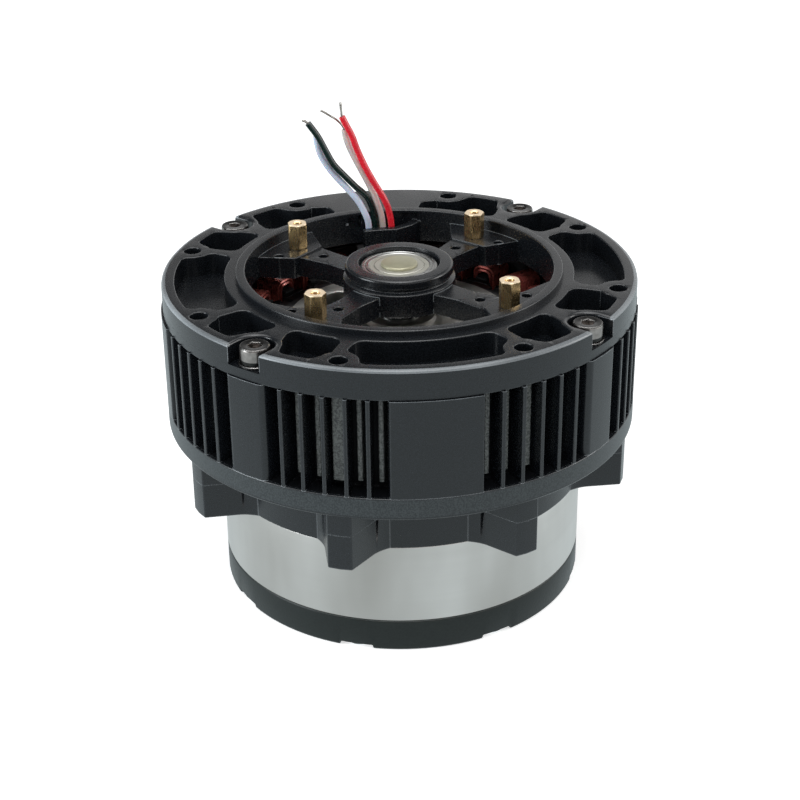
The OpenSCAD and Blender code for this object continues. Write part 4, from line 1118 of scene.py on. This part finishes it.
class MOTOR_OT_camera(bpy.types.Operator):
    """Camera at the photograph's view"""

    bl_idname = "motor.camera"
    bl_label = "Camera"

    def execute(self, context):
        data = bpy.data.cameras.new("Camera")
        data.lens, data.sensor_width = LENS, SENSOR
        data.clip_start, data.clip_end = 0.01, 20
        camera = bpy.data.objects.new("Camera", data)
        collection().objects.link(camera)
        right = VIEW_AHEAD.cross(VIEW_ABOVE).normalized()
        turn = Matrix((right, right.cross(VIEW_AHEAD), -VIEW_AHEAD)).transposed().to_4x4()
        camera.matrix_world = Matrix.Translation(VIEW_TARGET + VIEW_OFFSET) @ turn
        context.scene.camera = camera
        return {"FINISHED"}


class MOTOR_OT_leads(bpy.types.Operator):
    """Four insulated leads with bare, twisted ends"""

    bl_idname = "motor.leads"
    bl_label = "Leads"

    def execute(self, context):
        look = look_of("motor_leads")
        for seed, (node, (label, shade, clear, slot)) in enumerate(INSULATIONS.items()):
            run = [p * MM for p in curve_through(LEADS[node], 5)]
            lead = add_piece(
                node + "_insulation", tube_along(node, run, look.diameter / 2, look.diameter * CORE_SHARE),
                insulation(label, getattr(look, shade), clear), node)
            strands = add_piece(
                node + "_strands", self.bare_end(node, run, seed, look), tinned_strand(), "lead_tips")
            length_of(run)
        return {"FINISHED"}

    def bare_end(self, node, run, seed, look):
        inside = run[-1] - (run[-1] - run[-2]).normalized() * STRAND_START * MM
        path = curve_through([inside, run[-1], *(Vector(p) * MM for p in STRAND_ENDS[node])], 5)
        data = bpy.data.curves.new(node + "_core", "CURVE")
        data.dimensions = "3D"
        spline = data.splines.new("POLY")
        spline.points.add(len(path) - 1)
        for point, place in zip(spline.points, path):
            point.co = (*place, 1)
        bare = grown(
            node + "_core", strand_tree(), data, strand=look.strand, strands=STRANDS, twist=STRAND_TWIST,
            spread=look.strand * STRAND_SPREAD, seed=seed + 3, material=tinned_strand())
        smooth(bare)
        return bare


# Castings


def long_pocket():
    """Pocket between two rim holes, its ends curved round them."""
    side = [at(POCKET_IN_R, a) for a in (4, 8, 12, 16)]
    side += [at(POCKET_IN_R, 21, 3), at(48.7, 22.1, 2.4)]
    side += arc_about(at(RIM_ORBIT, FIRST_HOLE), HOLE_WALL_R, 145, 187, 5)
    side += [at(POCKET_OUT_R, 17.2, 1.8)]
    side += [at(POCKET_OUT_R, a) for a in (13, 10, 7, 3.5)]
    return rounded([*side, at(POCKET_OUT_R, 0), *mirrored(side), at(POCKET_IN_R, 0)])


def screw_end(far, steps):
    """A pocket's end round a cap screw, then its outer side and its way round a rim hole."""
    return [
        at(POCKET_IN_R + 0.6, 43, 2.2), *arc_about(at(RIM_ORBIT, 45), SCREW_WALL_R, 172, 205, 6),
        at(POCKET_OUT_R, 37.2, 1.8), at(POCKET_OUT_R, 34.5), at(POCKET_OUT_R, 31.6),
        at(POCKET_OUT_R, 28.9, 1.8), *arc_about(at(RIM_ORBIT, FIRST_HOLE), HOLE_WALL_R, 42, far, steps)]


def short_pocket():
    """Pocket between a rim hole and a cap screw."""
    inner = [at(POCKET_IN_R, a) for a in (30, 35, 39.5)]
    return rounded([at(POCKET_IN_R, 25.2, 2.6), *inner, *screw_end(78, 6)])


def back_pocket():
    """Pocket from a cap screw past a rim hole, beside the solid back of the rim."""
    inner = [at(POCKET_IN_R, a) for a in (20, 25, 30, 35, 39.5)]
    return rounded([at(POCKET_IN_R, 14.8, 1.5), *inner, *screw_end(140, 12), at(48.2, 15.3, 1.6)])


def rim_outline():
    """The rim's outside with its four screw notches."""
    path = []
    reach = math.degrees(math.asin(CAP_RECESS_R / FRAME_R))
    for middle in DIAGONALS:
        path += arc(FRAME_R, middle - 90 + reach, middle - reach, 28)
        path += arc_about(at(RIM_ORBIT, middle), CAP_RECESS_R, middle - 180, middle - 360, 16)
    return path


def rear_frame_shapes(edge):
    """Rim, lip, spider, hub and lead guard of the rear end frame."""
    pocketed = (0, 1, 3)
    pockets = [
        *set_round(long_pocket(), pocketed), *set_round(short_pocket(), pocketed, (1, -1)),
        *set_round(back_pocket(), (2,), (1, -1))]
    rim_holes = [round_hole(RIM_ORBIT, a, RIM_HOLE_R) for a in EIGHTHS]
    shanks = [round_hole(RIM_ORBIT, a, SHANK_BORE_R) for a in DIAGONALS]
    inner = circle(LIP_R - 0.4)
    whole = circle(FRAME_R)
    holes = [inner, *pockets, *rim_holes]
    return [
        slab(rim_outline(), holes, CAP_SEAT_Z, RIM_Z, edge, outer_edge=RIM_CHAMFER),
        slab(whole, [*holes, *shanks], POCKET_FLOOR, CAP_SEAT_Z, 0),
        slab(whole, [inner, *shanks], BAND_Z, POCKET_FLOOR, 0, 0.25),
        *inner_wall_shapes(), *spider_shapes(edge), hub_shape(), guard_shape()]


def clip_notched(r):
    """The opening's wall with its two clip slots."""
    path = []
    start = LEFT_CLIP[0] - 360
    for middle, half, depth in (RIGHT_CLIP, LEFT_CLIP):
        reach = math.degrees(math.asin(half / r))
        path += arc(r, start, middle - reach, 150 if start < 0 else 8)[1:]
        path += [at(r + depth, middle - reach), at(r + depth, middle + reach)]
        start = middle + reach
    return [*path, at(r, start)]


def inner_wall_shapes():
    """The opening's wall in three storeys, the middle one with the clip slots, and the register."""
    lip = circle(LIP_R)
    opening = circle(OPENING_R)
    return [
        slab(lip, [opening], BAND_Z, CLIP_LOW, 0, 0.2),
        slab(lip, [clip_notched(OPENING_R)], CLIP_LOW, CLIP_HIGH, 0),
        slab(lip, [opening], CLIP_HIGH, LIP_Z, 0.28), register_shape()]


def register_shape():
    """The register that centres the frame in the housing."""
    r, low, high = SEAT_R - 0.05, BAND_Z - 2, BAND_Z + 0.2
    return lathed([(r - 1.5, low, 0.2), (r, low, 0.3), (r, high, 0), (r - 1.5, high, 0)], 144)


def board_pad(right, left, holes, edge):
    """A pad between two sides that run out to the opening's wall."""
    reach = OPENING_R + 0.9
    ends = [math.degrees(math.asin(side[-1][0] / reach)) for side in (right, left)]
    wall = arc(reach, ends[0], -ends[1], 12)
    path = [*right[:-1], *wall, *mirrored(left[:-1])]
    return slab(rounded(path), holes, SPIDER_Z - SPIDER_T + 0.01, PAD_Z, edge, 0.2)


def spider_shapes(edge):
    """Four arms and the board pads at their ends."""
    half = 3.5
    arm_side = [(half + 1, -8, 0), (half - 0.2, -20, 4), (half + 0.6, -27, 4), (half + 2, -31, 0)]
    front = [(5.8, -28, 0.8), (8.5, -30.2, 3), (21, -32, 0)]
    back = [(6.3, -28, 0.8), (11.5, -34.5, 0)]
    inner = [(4.3, -28, 0.8), (11, -34.5, 0)]
    across, along = 28.2, 17.5
    orbit = math.hypot(across, along)
    offset = math.degrees(math.atan2(across, along)) - 45
    pad_hole_r, arm_hole_orbit = 1.2, 24
    shapes = []
    for middle, right, left, way in (
        (45, front, inner, 1), (135, inner, back, -1), (225, back, inner, 1), (315, inner, front, -1),
    ):
        hole = round_hole(orbit, way * offset, pad_hole_r, 24)
        shapes.append(turned(board_pad(right, left, [hole], edge), middle))
        arm = rounded([*arm_side, *mirrored(arm_side)])
        hole = round_hole(arm_hole_orbit, 0, pad_hole_r, 24)
        shapes.append(turned(slab(arm, [hole], SPIDER_Z - SPIDER_T, SPIDER_Z, edge, 0.2), middle))
    return shapes


def hub_shape():
    """Bearing hub with a waist under its collar and a shadow groove round the bearing."""
    low, waist, top = SPIDER_Z - SPIDER_T, SPIDER_Z + 0.6, HUB_Z - 0.2
    seat_r, shoulder_r, shoulder = 9.5, 8.0, 76.1
    return lathed([
        (shoulder_r, low, 0.2), (HUB_R + 0.5, low, 0.3), (HUB_R + 0.5, waist, 0.25),
        (HUB_R - 0.6, waist + 0.5, 0.2), (HUB_R - 0.6, waist + 1, 0.2), (HUB_R, waist + 1.5, 0.3),
        (HUB_R, top, 0.75), (seat_r + 0.5, top, 0.25), (seat_r + 0.35, RIM_Z, 0.1), (seat_r, RIM_Z, 0),
        (seat_r, shoulder, 0), (shoulder_r, shoulder, 0.2)], 144)


def guard_shape():
    """The curved wall in front of the leads."""
    near, far = 30.9, 32.9
    return slab(rounded([
        at(near, 189, 0.9), at(near, 184), at(near, 179), at(near, 173), at(34, 166.5),
        at(OPENING_R + 1, 162.5), at(OPENING_R + 1, 166.5), at(35, 169.5), at(far, 174), at(far, 179),
        at(far, 184), at(far, 189, 0.9)]), [], BAND_Z, RIM_Z - 1.5, 0.25)


def bar(width, reach, low, high, edge):
    """A fin or rib standing on the jacket, its long edges rounded."""
    side = [(width / 2, -reach, edge), (width / 2, -JACKET_R + 0.8, 0)]
    return slab(rounded([*side, *mirrored(side)], 3), [], low, high, 0)


def wide_pad():
    half = 10.6
    reach = math.degrees(math.asin(half / SHELL_R))
    path = arc(SHELL_R, -reach, reach, 10) + [(half, -JACKET_R + 3, 0), (-half, -JACKET_R + 3, 0)]
    for end in (0, 10):
        path[end] = (*path[end][:2], 0.35)
    return slab(rounded(path, 3), [], FIN_Z - 0.1, BAND_Z, 0)


def screw_pad():
    half = 5.6
    side = [(half, -SHELL_R + 0.3, 1.6), (half, -JACKET_R + 1, 0)]
    return slab(rounded([*side, *mirrored(side), (0, -SHELL_R + 0.03, 0)]), [], FIN_Z - 0.1, BAND_Z, 0)


def lug():
    """A lug that flares into the drum through a concave fillet, with its screw hole."""
    half, r = 2.9, 57.3
    start, bend, end = (Vector(p) for p in (
        (half + 3.1, -DRUM_R - 2.8), (half + 4.2, -DRUM_R - 0.2), (half + 8.4, -DRUM_R + 2.8)))
    shares = [k / 10 for k in range(11)]
    flare = [(1 - t) ** 2 * start + 2 * t * (1 - t) * bend + t * t * end for t in shares]
    side = [(half, -r + 0.25, 0.5), (half + 2.2, -r + 5.8, 6), *[(p.x, p.y, 0) for p in flare]]
    path = rounded([*side, *mirrored(side), (0, -r, 0)])
    hole = round_hole(53.5, 0, 1.65, 24)
    hole_top = DRUM_Z + 9
    return [slab(path, [hole], DRUM_Z, hole_top, 0, 0.3), slab(path, [], hole_top, RING_Z + 0.2, 0)]


def housing_shell(edge):
    """The turned shell: gearbox drum, lower ring, jacket and front bearing seat."""
    bore_r, ring_seat_r, stack_foot, wall_foot = 38.2, 40.2, 50, 45
    return lathed([
        (8, 39.5, 0.2), (bore_r, 39.5, 0.4), (bore_r, DRUM_Z + 3.1, 0.2), (ring_seat_r, DRUM_Z + 2.7, 0.2),
        (ring_seat_r, DRUM_Z, 0.2), (DRUM_R, DRUM_Z, 0.4), (DRUM_R, RING_Z, 1.2), (SHELL_R, RING_Z, 0.7),
        (SHELL_R, FIN_Z, edge), (SHELL_R - LEDGE, FIN_Z, 0.1), (SHELL_R - LEDGE, FIN_Z - SHADE_SHEET_T, 0),
        (JACKET_R - SHADE_SHEET_T, FIN_Z - SHADE_SHEET_T, 0), (JACKET_R - SHADE_SHEET_T, BAND_Z, 0.1),
        (SEAT_R, BAND_Z, 0.2), (SEAT_R, stack_foot, 0), (SEAT_R - 2, stack_foot, 0.2),
        (SEAT_R - 2, wall_foot, 0.6), (13, wall_foot, 0.4), (13, wall_foot + 1, 0.3),
        (9.5, wall_foot + 1, 0.2), (9.5, 40, 0), (8, 40, 0.1)], 216)


def painted_shade_sheet():
    """The sheet that carries the painted shade: the bottom of the recess between the fins and the lower
    ring's top under them.
    """
    return lathed([
        (JACKET_R - SHADE_SHEET_T, FIN_Z - SHADE_SHEET_T, 0), (SHELL_R - LEDGE, FIN_Z - SHADE_SHEET_T, 0),
        (SHELL_R - LEDGE, FIN_Z, 0), (JACKET_R, FIN_Z, 0.6), (JACKET_R, BAND_Z, 0),
        (JACKET_R - SHADE_SHEET_T, BAND_Z, 0)], 216)


def copies(sets, material):
    """Meshes set round the shell, from (mesh, groups, run, first angle, step)."""
    made = []
    for mesh, groups, run, first, step in sets:
        made.append(ring_of(
            mesh.name + "_copies", mesh, groups, 0.0, math.radians(first), material, run, math.radians(step)))
    return made


def outer_sets():
    """Fins, pads and lugs, each drawn once."""
    fin = cast("fin", [bar(FIN_T, SHELL_R - 0.03, FIN_Z - 0.1, BAND_Z, 0.25)])
    return [(fin, 4, 5, way * FIRST_FIN, way * FIN_STEP) for way in (-1, 1)] + [
        (cast("wide_pad", [wide_pad()]), 4, 1, 0, 0), (cast("screw_pad", [screw_pad()]), 4, 1, 45, 0),
        (cast("lug", lug()), 8, 1, EIGHTHS[0], 0)]


def rib_sets():
    """Thin and broad ribs in the recess."""
    rib = cast("rib", [bar(RIB_T, JACKET_R + 2.2, FIN_Z + RIB_FOOT, BAND_Z, 0.3)])
    broad = cast("broad_rib", [bar(BROAD_RIB_T, JACKET_R + 2.8, FIN_Z + RIB_FOOT, BAND_Z, 0.4)])
    sets = [(broad, 4, 1, way * EIGHTHS[0], 0) for way in (-1, 1)]
    for way in (-1, 1):
        for number in (-0.5, 2.5):
            sets.append((rib, 4, 2, way * (FIRST_FIN + number * FIN_STEP), way * FIN_STEP))
    return sets


class MOTOR_OT_castings(bpy.types.Operator):
    """Rear end frame and finned housing with rounded edges"""

    bl_idname = "motor.castings"
    bl_label = "Castings"

    def execute(self, context):
        edge = look_of("motor_castings").edge / MM
        black, lit_ribs = black_casting(), lit_rib_black()
        for name, shapes, extra, material, node in (
            ("rear_frame_casting", rear_frame_shapes(edge), (), black, "rear_end_frame"),
            ("housing_casting", [housing_shell(edge)], copies(outer_sets(), black), black, "finned_housing"),
            ("housing_ribs", [], copies(rib_sets(), lit_ribs), lit_ribs, "finned_housing"),
            # Painted shade: a dark sheet over the recess between the fins.
            ("housing_recess", [painted_shade_sheet()], (), recess_painted_shade(), "finned_housing"),
        ):
            add_piece(name, cast(name, shapes, extra), material, node)
        return {"FINISHED"}


def add_softened(node, material, width):
    """The CAD piece with its edges rounded by a width in millimetres."""
    add_piece(node + "_body", softened(node + "_body", node, width * MM), material, node)


class MOTOR_OT_gearbox(bpy.types.Operator):
    """Ring gear and gearbox cover with rounded edges"""

    bl_idname = "motor.gearbox"
    bl_label = "Gearbox"

    def execute(self, context):
        add_softened("ring_gear", turned_ring(), 0.12)
        add_softened("gearbox_cover", black_cover_finish(), 0.3)
        return {"FINISHED"}


def socket_screw(name, head, top, foot, key, depth, shank, shank_foot, knurl=0.05 * MM, count=96):
    """A socket head screw on the Z axis, its hexagon open at the top; foot and top may be turned over."""
    way = 1 if top > foot else -1
    soft = 0.32 * MM
    reach = key / 2

    def knurled(angle):
        return head - knurl * (0.5 + 0.5 * math.cos(angle * count / 2))

    def socket(angle):
        return hexagon(reach, angle)

    def under(drop):
        return top - way * drop

    return rings_mesh(name, stacked([
        (shank, shank_foot), (shank, foot), (head - 0.2 * MM, foot),
        (head - 0.05 * MM, foot + way * 0.15 * MM), (knurled, foot + way * 0.3 * MM),
        (knurled, under(0.55 * MM)), (head - 0.06 * MM, under(0.4 * MM)),
        (head - soft * 0.45, under(soft * 0.35)), (head - soft, top), (reach * 1.28, top),
        (reach * 1.17, under(0.06 * MM)), (socket, under(0.2 * MM)), (socket, under(depth)),
        (key * 0.1, under(depth + key * 0.2))], count))


WASHER_T, CAP_SHANK_R = 0.5 * MM, 1.9 * MM


class MOTOR_OT_cap_screws(bpy.types.Operator):
    """Four knurled cap screws and their washers in the rim"""

    bl_idname = "motor.cap_screws"
    bl_label = "Cap screws"

    def execute(self, context):
        look = look_of("motor_fasteners")
        seat = CAP_SEAT + WASHER_T
        screw = socket_screw(
            "cap_screw", look.cap_head, CAP_TOP, seat, look.cap_key, 2.1 * MM, CAP_SHANK_R,
            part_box("cap_screws")[0].z)
        outer, soft = look.cap_head + 0.35 * MM, 0.1 * MM
        washer = rings_mesh("cap_washer", stacked([
            (CAP_SHANK_R, CAP_SEAT), (outer - soft, CAP_SEAT), (outer, CAP_SEAT + soft), (outer, seat - soft),
            (outer - soft, seat), (CAP_SHANK_R, seat)], 48), closed=True)
        for name, mesh, node, slot in (
            ("cap_screw_set", screw, "cap_screws", "screw_steel"),
            ("cap_washer_set", washer, "cap_screw_washers", "washer_steel"),
        ):
            made = ring_of(name, mesh, 4, look.cap_orbit, math.pi / 4, screw_steel())
            add_piece(name, made, screw_steel(), node)
        return {"FINISHED"}


class MOTOR_OT_standoffs(bpy.types.Operator):
    """Four hexagonal brass standoffs with threaded bores"""

    bl_idname = "motor.standoffs"
    bl_label = "Standoffs"

    def execute(self, context):
        look = look_of("motor_fasteners")
        half, top = look.standoff_flats / 2, STANDOFF_TOP
        foot, bottom = top - 6.6 * MM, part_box("board_standoffs")[0].z
        bore, stud, pitch, thread_depth = 1.05 * MM, 1.2 * MM, 0.45 * MM, 5 * MM

        def outside(angle):
            return hexagon(half, angle)

        def topped(angle):
            return min(hexagon(half, angle), half * 1.03) - 0.04 * MM

        def crowned(angle):
            return min(hexagon(half, angle), half * 1.1)

        profile = [
            (stud, bottom), (stud, foot), (topped, foot), (crowned, foot + 0.16 * MM),
            (outside, foot + 0.4 * MM), (outside, top - 0.42 * MM), (crowned, top - 0.16 * MM), (topped, top),
            (bore + 0.32 * MM, top), (bore + 0.08 * MM, top - 0.26 * MM)]
        z = top - 0.3 * MM
        while z > top - thread_depth:
            profile += [(bore, z), (bore - 0.11 * MM, z - pitch / 2)]
            z -= pitch
        profile.append((bore * 0.2, z - 0.3 * MM))
        standoff = rings_mesh("standoff", stacked(profile, 72, math.radians(15)))
        made = ring_of("standoff_set", standoff, 4, look.standoff_orbit, math.pi / 4, standoff_brass())
        add_piece("standoff_set", made, standoff_brass(), "board_standoffs")
        return {"FINISHED"}


class MOTOR_OT_gearbox_screws(bpy.types.Operator):
    """Eight cover screws under the gearbox"""

    bl_idname = "motor.gearbox_screws"
    bl_label = "Gearbox screws"

    def execute(self, context):
        look = look_of("motor_fasteners")
        low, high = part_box("gearbox_screws")
        screw = socket_screw(
            "cover_screw", 2.75 * MM, low.z, low.z + 2 * MM, 2.5 * MM, 1.2 * MM, 1.5 * MM, high.z,
            knurl=0.03 * MM, count=48)
        made = ring_of("cover_screw_set", screw, 8, look.cover_orbit, math.pi / 8, bright_steel())
        add_piece("cover_screw_set", made, bright_steel(), "gearbox_screws")
        return {"FINISHED"}


COIL_NEAR, COIL_FAR, COIL_CORNER, TOOTH_WIDTH = 36.6 * MM, 44.2 * MM, 1.5 * MM, 3.4 * MM


class MOTOR_OT_windings(bpy.types.Operator):
    """Enamelled wire round each stator tooth"""

    bl_idname = "motor.windings"
    bl_label = "Windings"

    def execute(self, context):
        look = look_of("motor_windings")
        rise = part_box("stator_coils")[1].z - STACK_TOP - 2 * look.wire
        coil = grown(
            "coil", coil_tree(), bpy.data.meshes.new("coil"), tooth_width=TOOTH_WIDTH,
            stack_height=(STACK_TOP - STACK_FOOT) + 2 * rise, corner=COIL_CORNER, wire=look.wire,
            turns=look.turns, layers=look.layers, first_turn=COIL_NEAR + look.wire / 2,
            pitch=(COIL_FAR - COIL_NEAR) / (look.turns + 0.5), material=enamelled_copper())
        coil.transform(Matrix.Translation((0, 0, (STACK_FOOT + STACK_TOP) / 2)))
        made = ring_of("coil_set", coil, look.teeth, 0.0, 0.0, enamelled_copper())
        add_piece("coil_set", made, enamelled_copper(), "stator_coils")
        return {"FINISHED"}


# CAD pieces with their edges rounded: finish, slot and width in millimetres
SOFTENED_NODES = {
    "lead_anchor": (black_plastic, "insulator_plastic", 0.3),
    "rotor_hub": (rotor_alloy, "rotor_aluminium", 0.2),
    "encoder_magnet": (encoder_nickel, "nickel_magnet", 0.08),
    "output_flange": (flange_steel, "flange_steel", 0.12),
    "planet_carrier": (carrier_steel, "carrier_steel", 0.2),
}
# CAD pieces that are shown as they are
KEPT_NODES = {
    "rear_bearing_balls": bright_steel, "front_bearing_balls": bright_steel,
    "output_bearing_balls": bright_steel,
    "rear_bearing_shields": shield_steel, "front_bearing_shields": shield_steel,
    "front_bearing_outer_race": race_steel, "front_bearing_inner_race": race_steel,
    "output_bearing_outer_race": race_steel, "output_bearing_inner_race": race_steel,
    "stator_core": laminations, "end_insulators": black_plastic, "rotor_shaft": shaft_steel,
    "rotor_core": rotor_iron, "rotor_magnets": magnet_plate, "sun_gear": gear_steel,
    "planet_gear_1": gear_steel, "planet_gear_2": gear_steel, "planet_gear_3": gear_steel,
    "planet_bush_1": bush_bronze, "planet_bush_2": bush_bronze, "planet_bush_3": bush_bronze,
    "planet_pins": shaft_steel, "carrier_top_plate": carrier_steel, "carrier_screws": screw_steel,
    "output_seal": seal_rubber, "flange_screws": screw_steel,
}


class MOTOR_OT_machined(bpy.types.Operator):
    """Machined pieces with their edges broken"""

    bl_idname = "motor.machined"
    bl_label = "Machined pieces"

    def execute(self, context):
        for node, (material, slot, width) in SOFTENED_NODES.items():
            add_softened(node, material(), width)
        return {"FINISHED"}


class MOTOR_OT_bearing(bpy.types.Operator):
    """Races of the rear bearing with ground, rounded edges"""

    bl_idname = "motor.bearing"
    bl_label = "Rear bearing"

    def execute(self, context):
        low, high = (corner.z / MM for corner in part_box("rear_bearing_outer_race"))
        outer_r, groove_r, bore_r, inner_r, shaft_r = 9.5, 8.5, 7.38, 6.12, 4.0
        outer = [
            (bore_r, low, 0.1), (outer_r, low, 0.3), (outer_r, high, 0.4), (groove_r + 0.1, high, 0.1),
            (groove_r, high - 0.15, 0.05), (groove_r - 0.2, high - 0.15, 0.05), (groove_r - 0.3, high, 0.1),
            (bore_r + 0.22, high, 0.1), (bore_r, high - 0.2, 0.05)]
        inner = [
            (shaft_r, low, 0.1), (inner_r, low, 0.1), (inner_r, high - 0.1, 0.1), (5.95, high, 0.05),
            (shaft_r, high, 0.2)]
        for node, profile, material in (
            ("rear_bearing_outer_race", outer, race_steel()),
            ("rear_bearing_inner_race", inner, inner_race_steel()),
        ):
            race = cast(node + "_body", [lathed(profile, 144)])
            add_piece(node + "_body", race, material, node)
        return {"FINISHED"}


class MOTOR_OT_inner_finishes(bpy.types.Operator):
    """Finishes of the CAD pieces that are shown as they are"""

    bl_idname = "motor.inner_finishes"
    bl_label = "Inner finishes"

    def execute(self, context):
        for node, material in KEPT_NODES.items():
            data = frame["nodes"][node].data
            data.materials.clear()
            data.materials.append(material())
        return {"FINISHED"}


# Soft lights: name, place and size in metres, setting of the power, tint
LIGHTS = (
    ("Left light", (-0.55, -0.12, 0.17), 0.30, "key_power", (0.90, 0.96, 1.0)),
    ("Right light", (0.60, -0.10, 0.22), 0.30, "fill_power", (1.0, 0.99, 0.97)),
    ("Top light", (-0.05, -0.36, 0.75), 0.50, "top_power", (0.97, 0.99, 1.0)),
)
LIGHT_AIM = Vector((0, 0, 0.06))
FLOOR_GLOW, FLOOR_SHINE, SHINE_COLOUR = 0.62, 0.86, (0.86, 0.97, 1, 1)
WHITE = (1, 1, 1, 1)
# The surround in reflections: where its bright horizon ends and its bright top begins, and how bright
HORIZON_LEAN, HORIZON_END, HORIZON_FADE, HORIZON_LIGHT = 0.35, 0.29, 0.06, 0.95
TOP_START, TOP_FADE, TOP_LIGHT = 0.72, 0.16, 2.8
DARK_LIGHT, DIFFUSE_LIGHT = 0.07, 0.5


class MOTOR_OT_stage(bpy.types.Operator):
    """Pale floor, soft lights and a white surround"""

    bl_idname = "motor.stage"
    bl_label = "Stage"

    def execute(self, context):
        look = look_of("motor_stage")
        context.scene.view_settings.view_transform = "Standard"
        self.floor(look)
        self.surround(context.scene)
        for name, place, size, key, tint in LIGHTS:
            data = bpy.data.lights.new(name, "AREA")
            data.shape = "DISK"
            data.size = size
            data.energy = getattr(look, key)
            data.color = tint
            lamp = bpy.data.objects.new(name, data)
            collection().objects.link(lamp)
            turn = (LIGHT_AIM - Vector(place)).to_track_quat("-Z", "Y").to_matrix().to_4x4()
            lamp.matrix_world = Matrix.Translation(place) @ turn
        return {"FINISHED"}

    def floor(self, look):
        """A floor that is nearly white to the camera and plain white in reflections."""
        shape = bmesh.new()
        bmesh.ops.create_circle(shape, cap_ends=True, radius=6.0, segments=96)
        mesh = bpy.data.meshes.new("floor")
        shape.to_mesh(mesh)
        shape.free()
        floor = bpy.data.objects.new("floor", mesh)
        collection().objects.link(floor)
        material = bpy.data.materials.new("Floor")
        material.use_nodes = True
        maker = Maker(material.node_tree)
        maker.tree.nodes.clear()
        paint = maker.node("ShaderNodeBsdfDiffuse", None, {"Color": (*look.floor, 1)})[0]
        glow = maker.node("ShaderNodeEmission", None, {"Color": WHITE, "Strength": FLOOR_GLOW})[0]
        lit = maker.node("ShaderNodeAddShader", None, [paint, glow])[0]
        white = maker.node("ShaderNodeEmission", None, {"Color": SHINE_COLOUR, "Strength": FLOOR_SHINE})[0]
        ray = maker.node("ShaderNodeLightPath")
        seen = maker.node("ShaderNodeMixShader", None, {0: ray["Is Camera Ray"], 1: paint, 2: lit})[0]
        shiny = (ray["Is Glossy Ray"] + ray["Is Transmission Ray"]).unit()
        both = maker.node("ShaderNodeMixShader", None, {0: shiny, 1: seen, 2: white})[0]
        maker.node("ShaderNodeOutputMaterial", None, {"Surface": both})
        mesh.materials.append(material)

    def surround(self, scene):
        """White to the camera; reflections see a bright horizon, darker on the left, and a bright top."""
        world = bpy.data.worlds.new("Studio")
        scene.world = world
        world.use_nodes = True
        maker = Maker(world.node_tree)
        maker.tree.nodes.clear()
        ray = maker.node("ShaderNodeLightPath")
        incoming = maker.node("ShaderNodeNewGeometry")["Incoming"]
        away = maker.node("ShaderNodeSeparateXYZ", None, [incoming])
        tilt = away[0] * HORIZON_LEAN - away[2]
        horizon = 1 - ((tilt - HORIZON_END) / HORIZON_FADE).unit()
        overhead = ((away[2] * -1 - TOP_START) / TOP_FADE).unit()
        shade = horizon * HORIZON_LIGHT + overhead * TOP_LIGHT + DARK_LIGHT
        reflected = (ray["Is Glossy Ray"] + ray["Is Transmission Ray"]).unit()
        unseen = reflected * shade + (1 - reflected) * DIFFUSE_LIGHT
        strength = ray["Is Camera Ray"] + (1 - ray["Is Camera Ray"]) * unseen
        light = maker.node("ShaderNodeBackground", None, {"Color": WHITE, "Strength": strength})[0]
        maker.node("ShaderNodeOutputWorld", None, {"Surface": light})


OPERATORS = (
    MOTOR_OT_camera, MOTOR_OT_leads, MOTOR_OT_castings, MOTOR_OT_gearbox, MOTOR_OT_cap_screws,
    MOTOR_OT_standoffs, MOTOR_OT_gearbox_screws, MOTOR_OT_windings, MOTOR_OT_machined,
    MOTOR_OT_bearing, MOTOR_OT_inner_finishes, MOTOR_OT_stage,
)


class MOTOR_PT_panel(bpy.types.Panel):
    bl_idname = "MOTOR_PT_panel"
    bl_label = "Gear motor"
    bl_space_type = "VIEW_3D"
    bl_region_type = "UI"
    bl_category = "Gear motor"

    def draw(self, context):
        for attribute, group in GROUPS.items():
            box = self.layout.box()
            for key in group.__annotations__:
                box.prop(getattr(context.scene, attribute), key)
        for operator in OPERATORS:
            self.layout.operator(operator.bl_idname)


def register():
    for cls in (*GROUPS.values(), *OPERATORS, MOTOR_PT_panel):
        bpy.utils.register_class(cls)
    for attribute, group in GROUPS.items():
        setattr(bpy.types.Scene, attribute, PointerProperty(type=group))


def unregister():
    for attribute in GROUPS:
        delattr(bpy.types.Scene, attribute)
    for cls in (MOTOR_PT_panel, *reversed(OPERATORS), *GROUPS.values()):
        bpy.utils.unregister_class(cls)


def main():
    register()
    for operator in OPERATORS:
        group, name = operator.bl_idname.split(".")
        getattr(getattr(bpy.ops, group), name)()


if __name__ == "__main__":
    main()
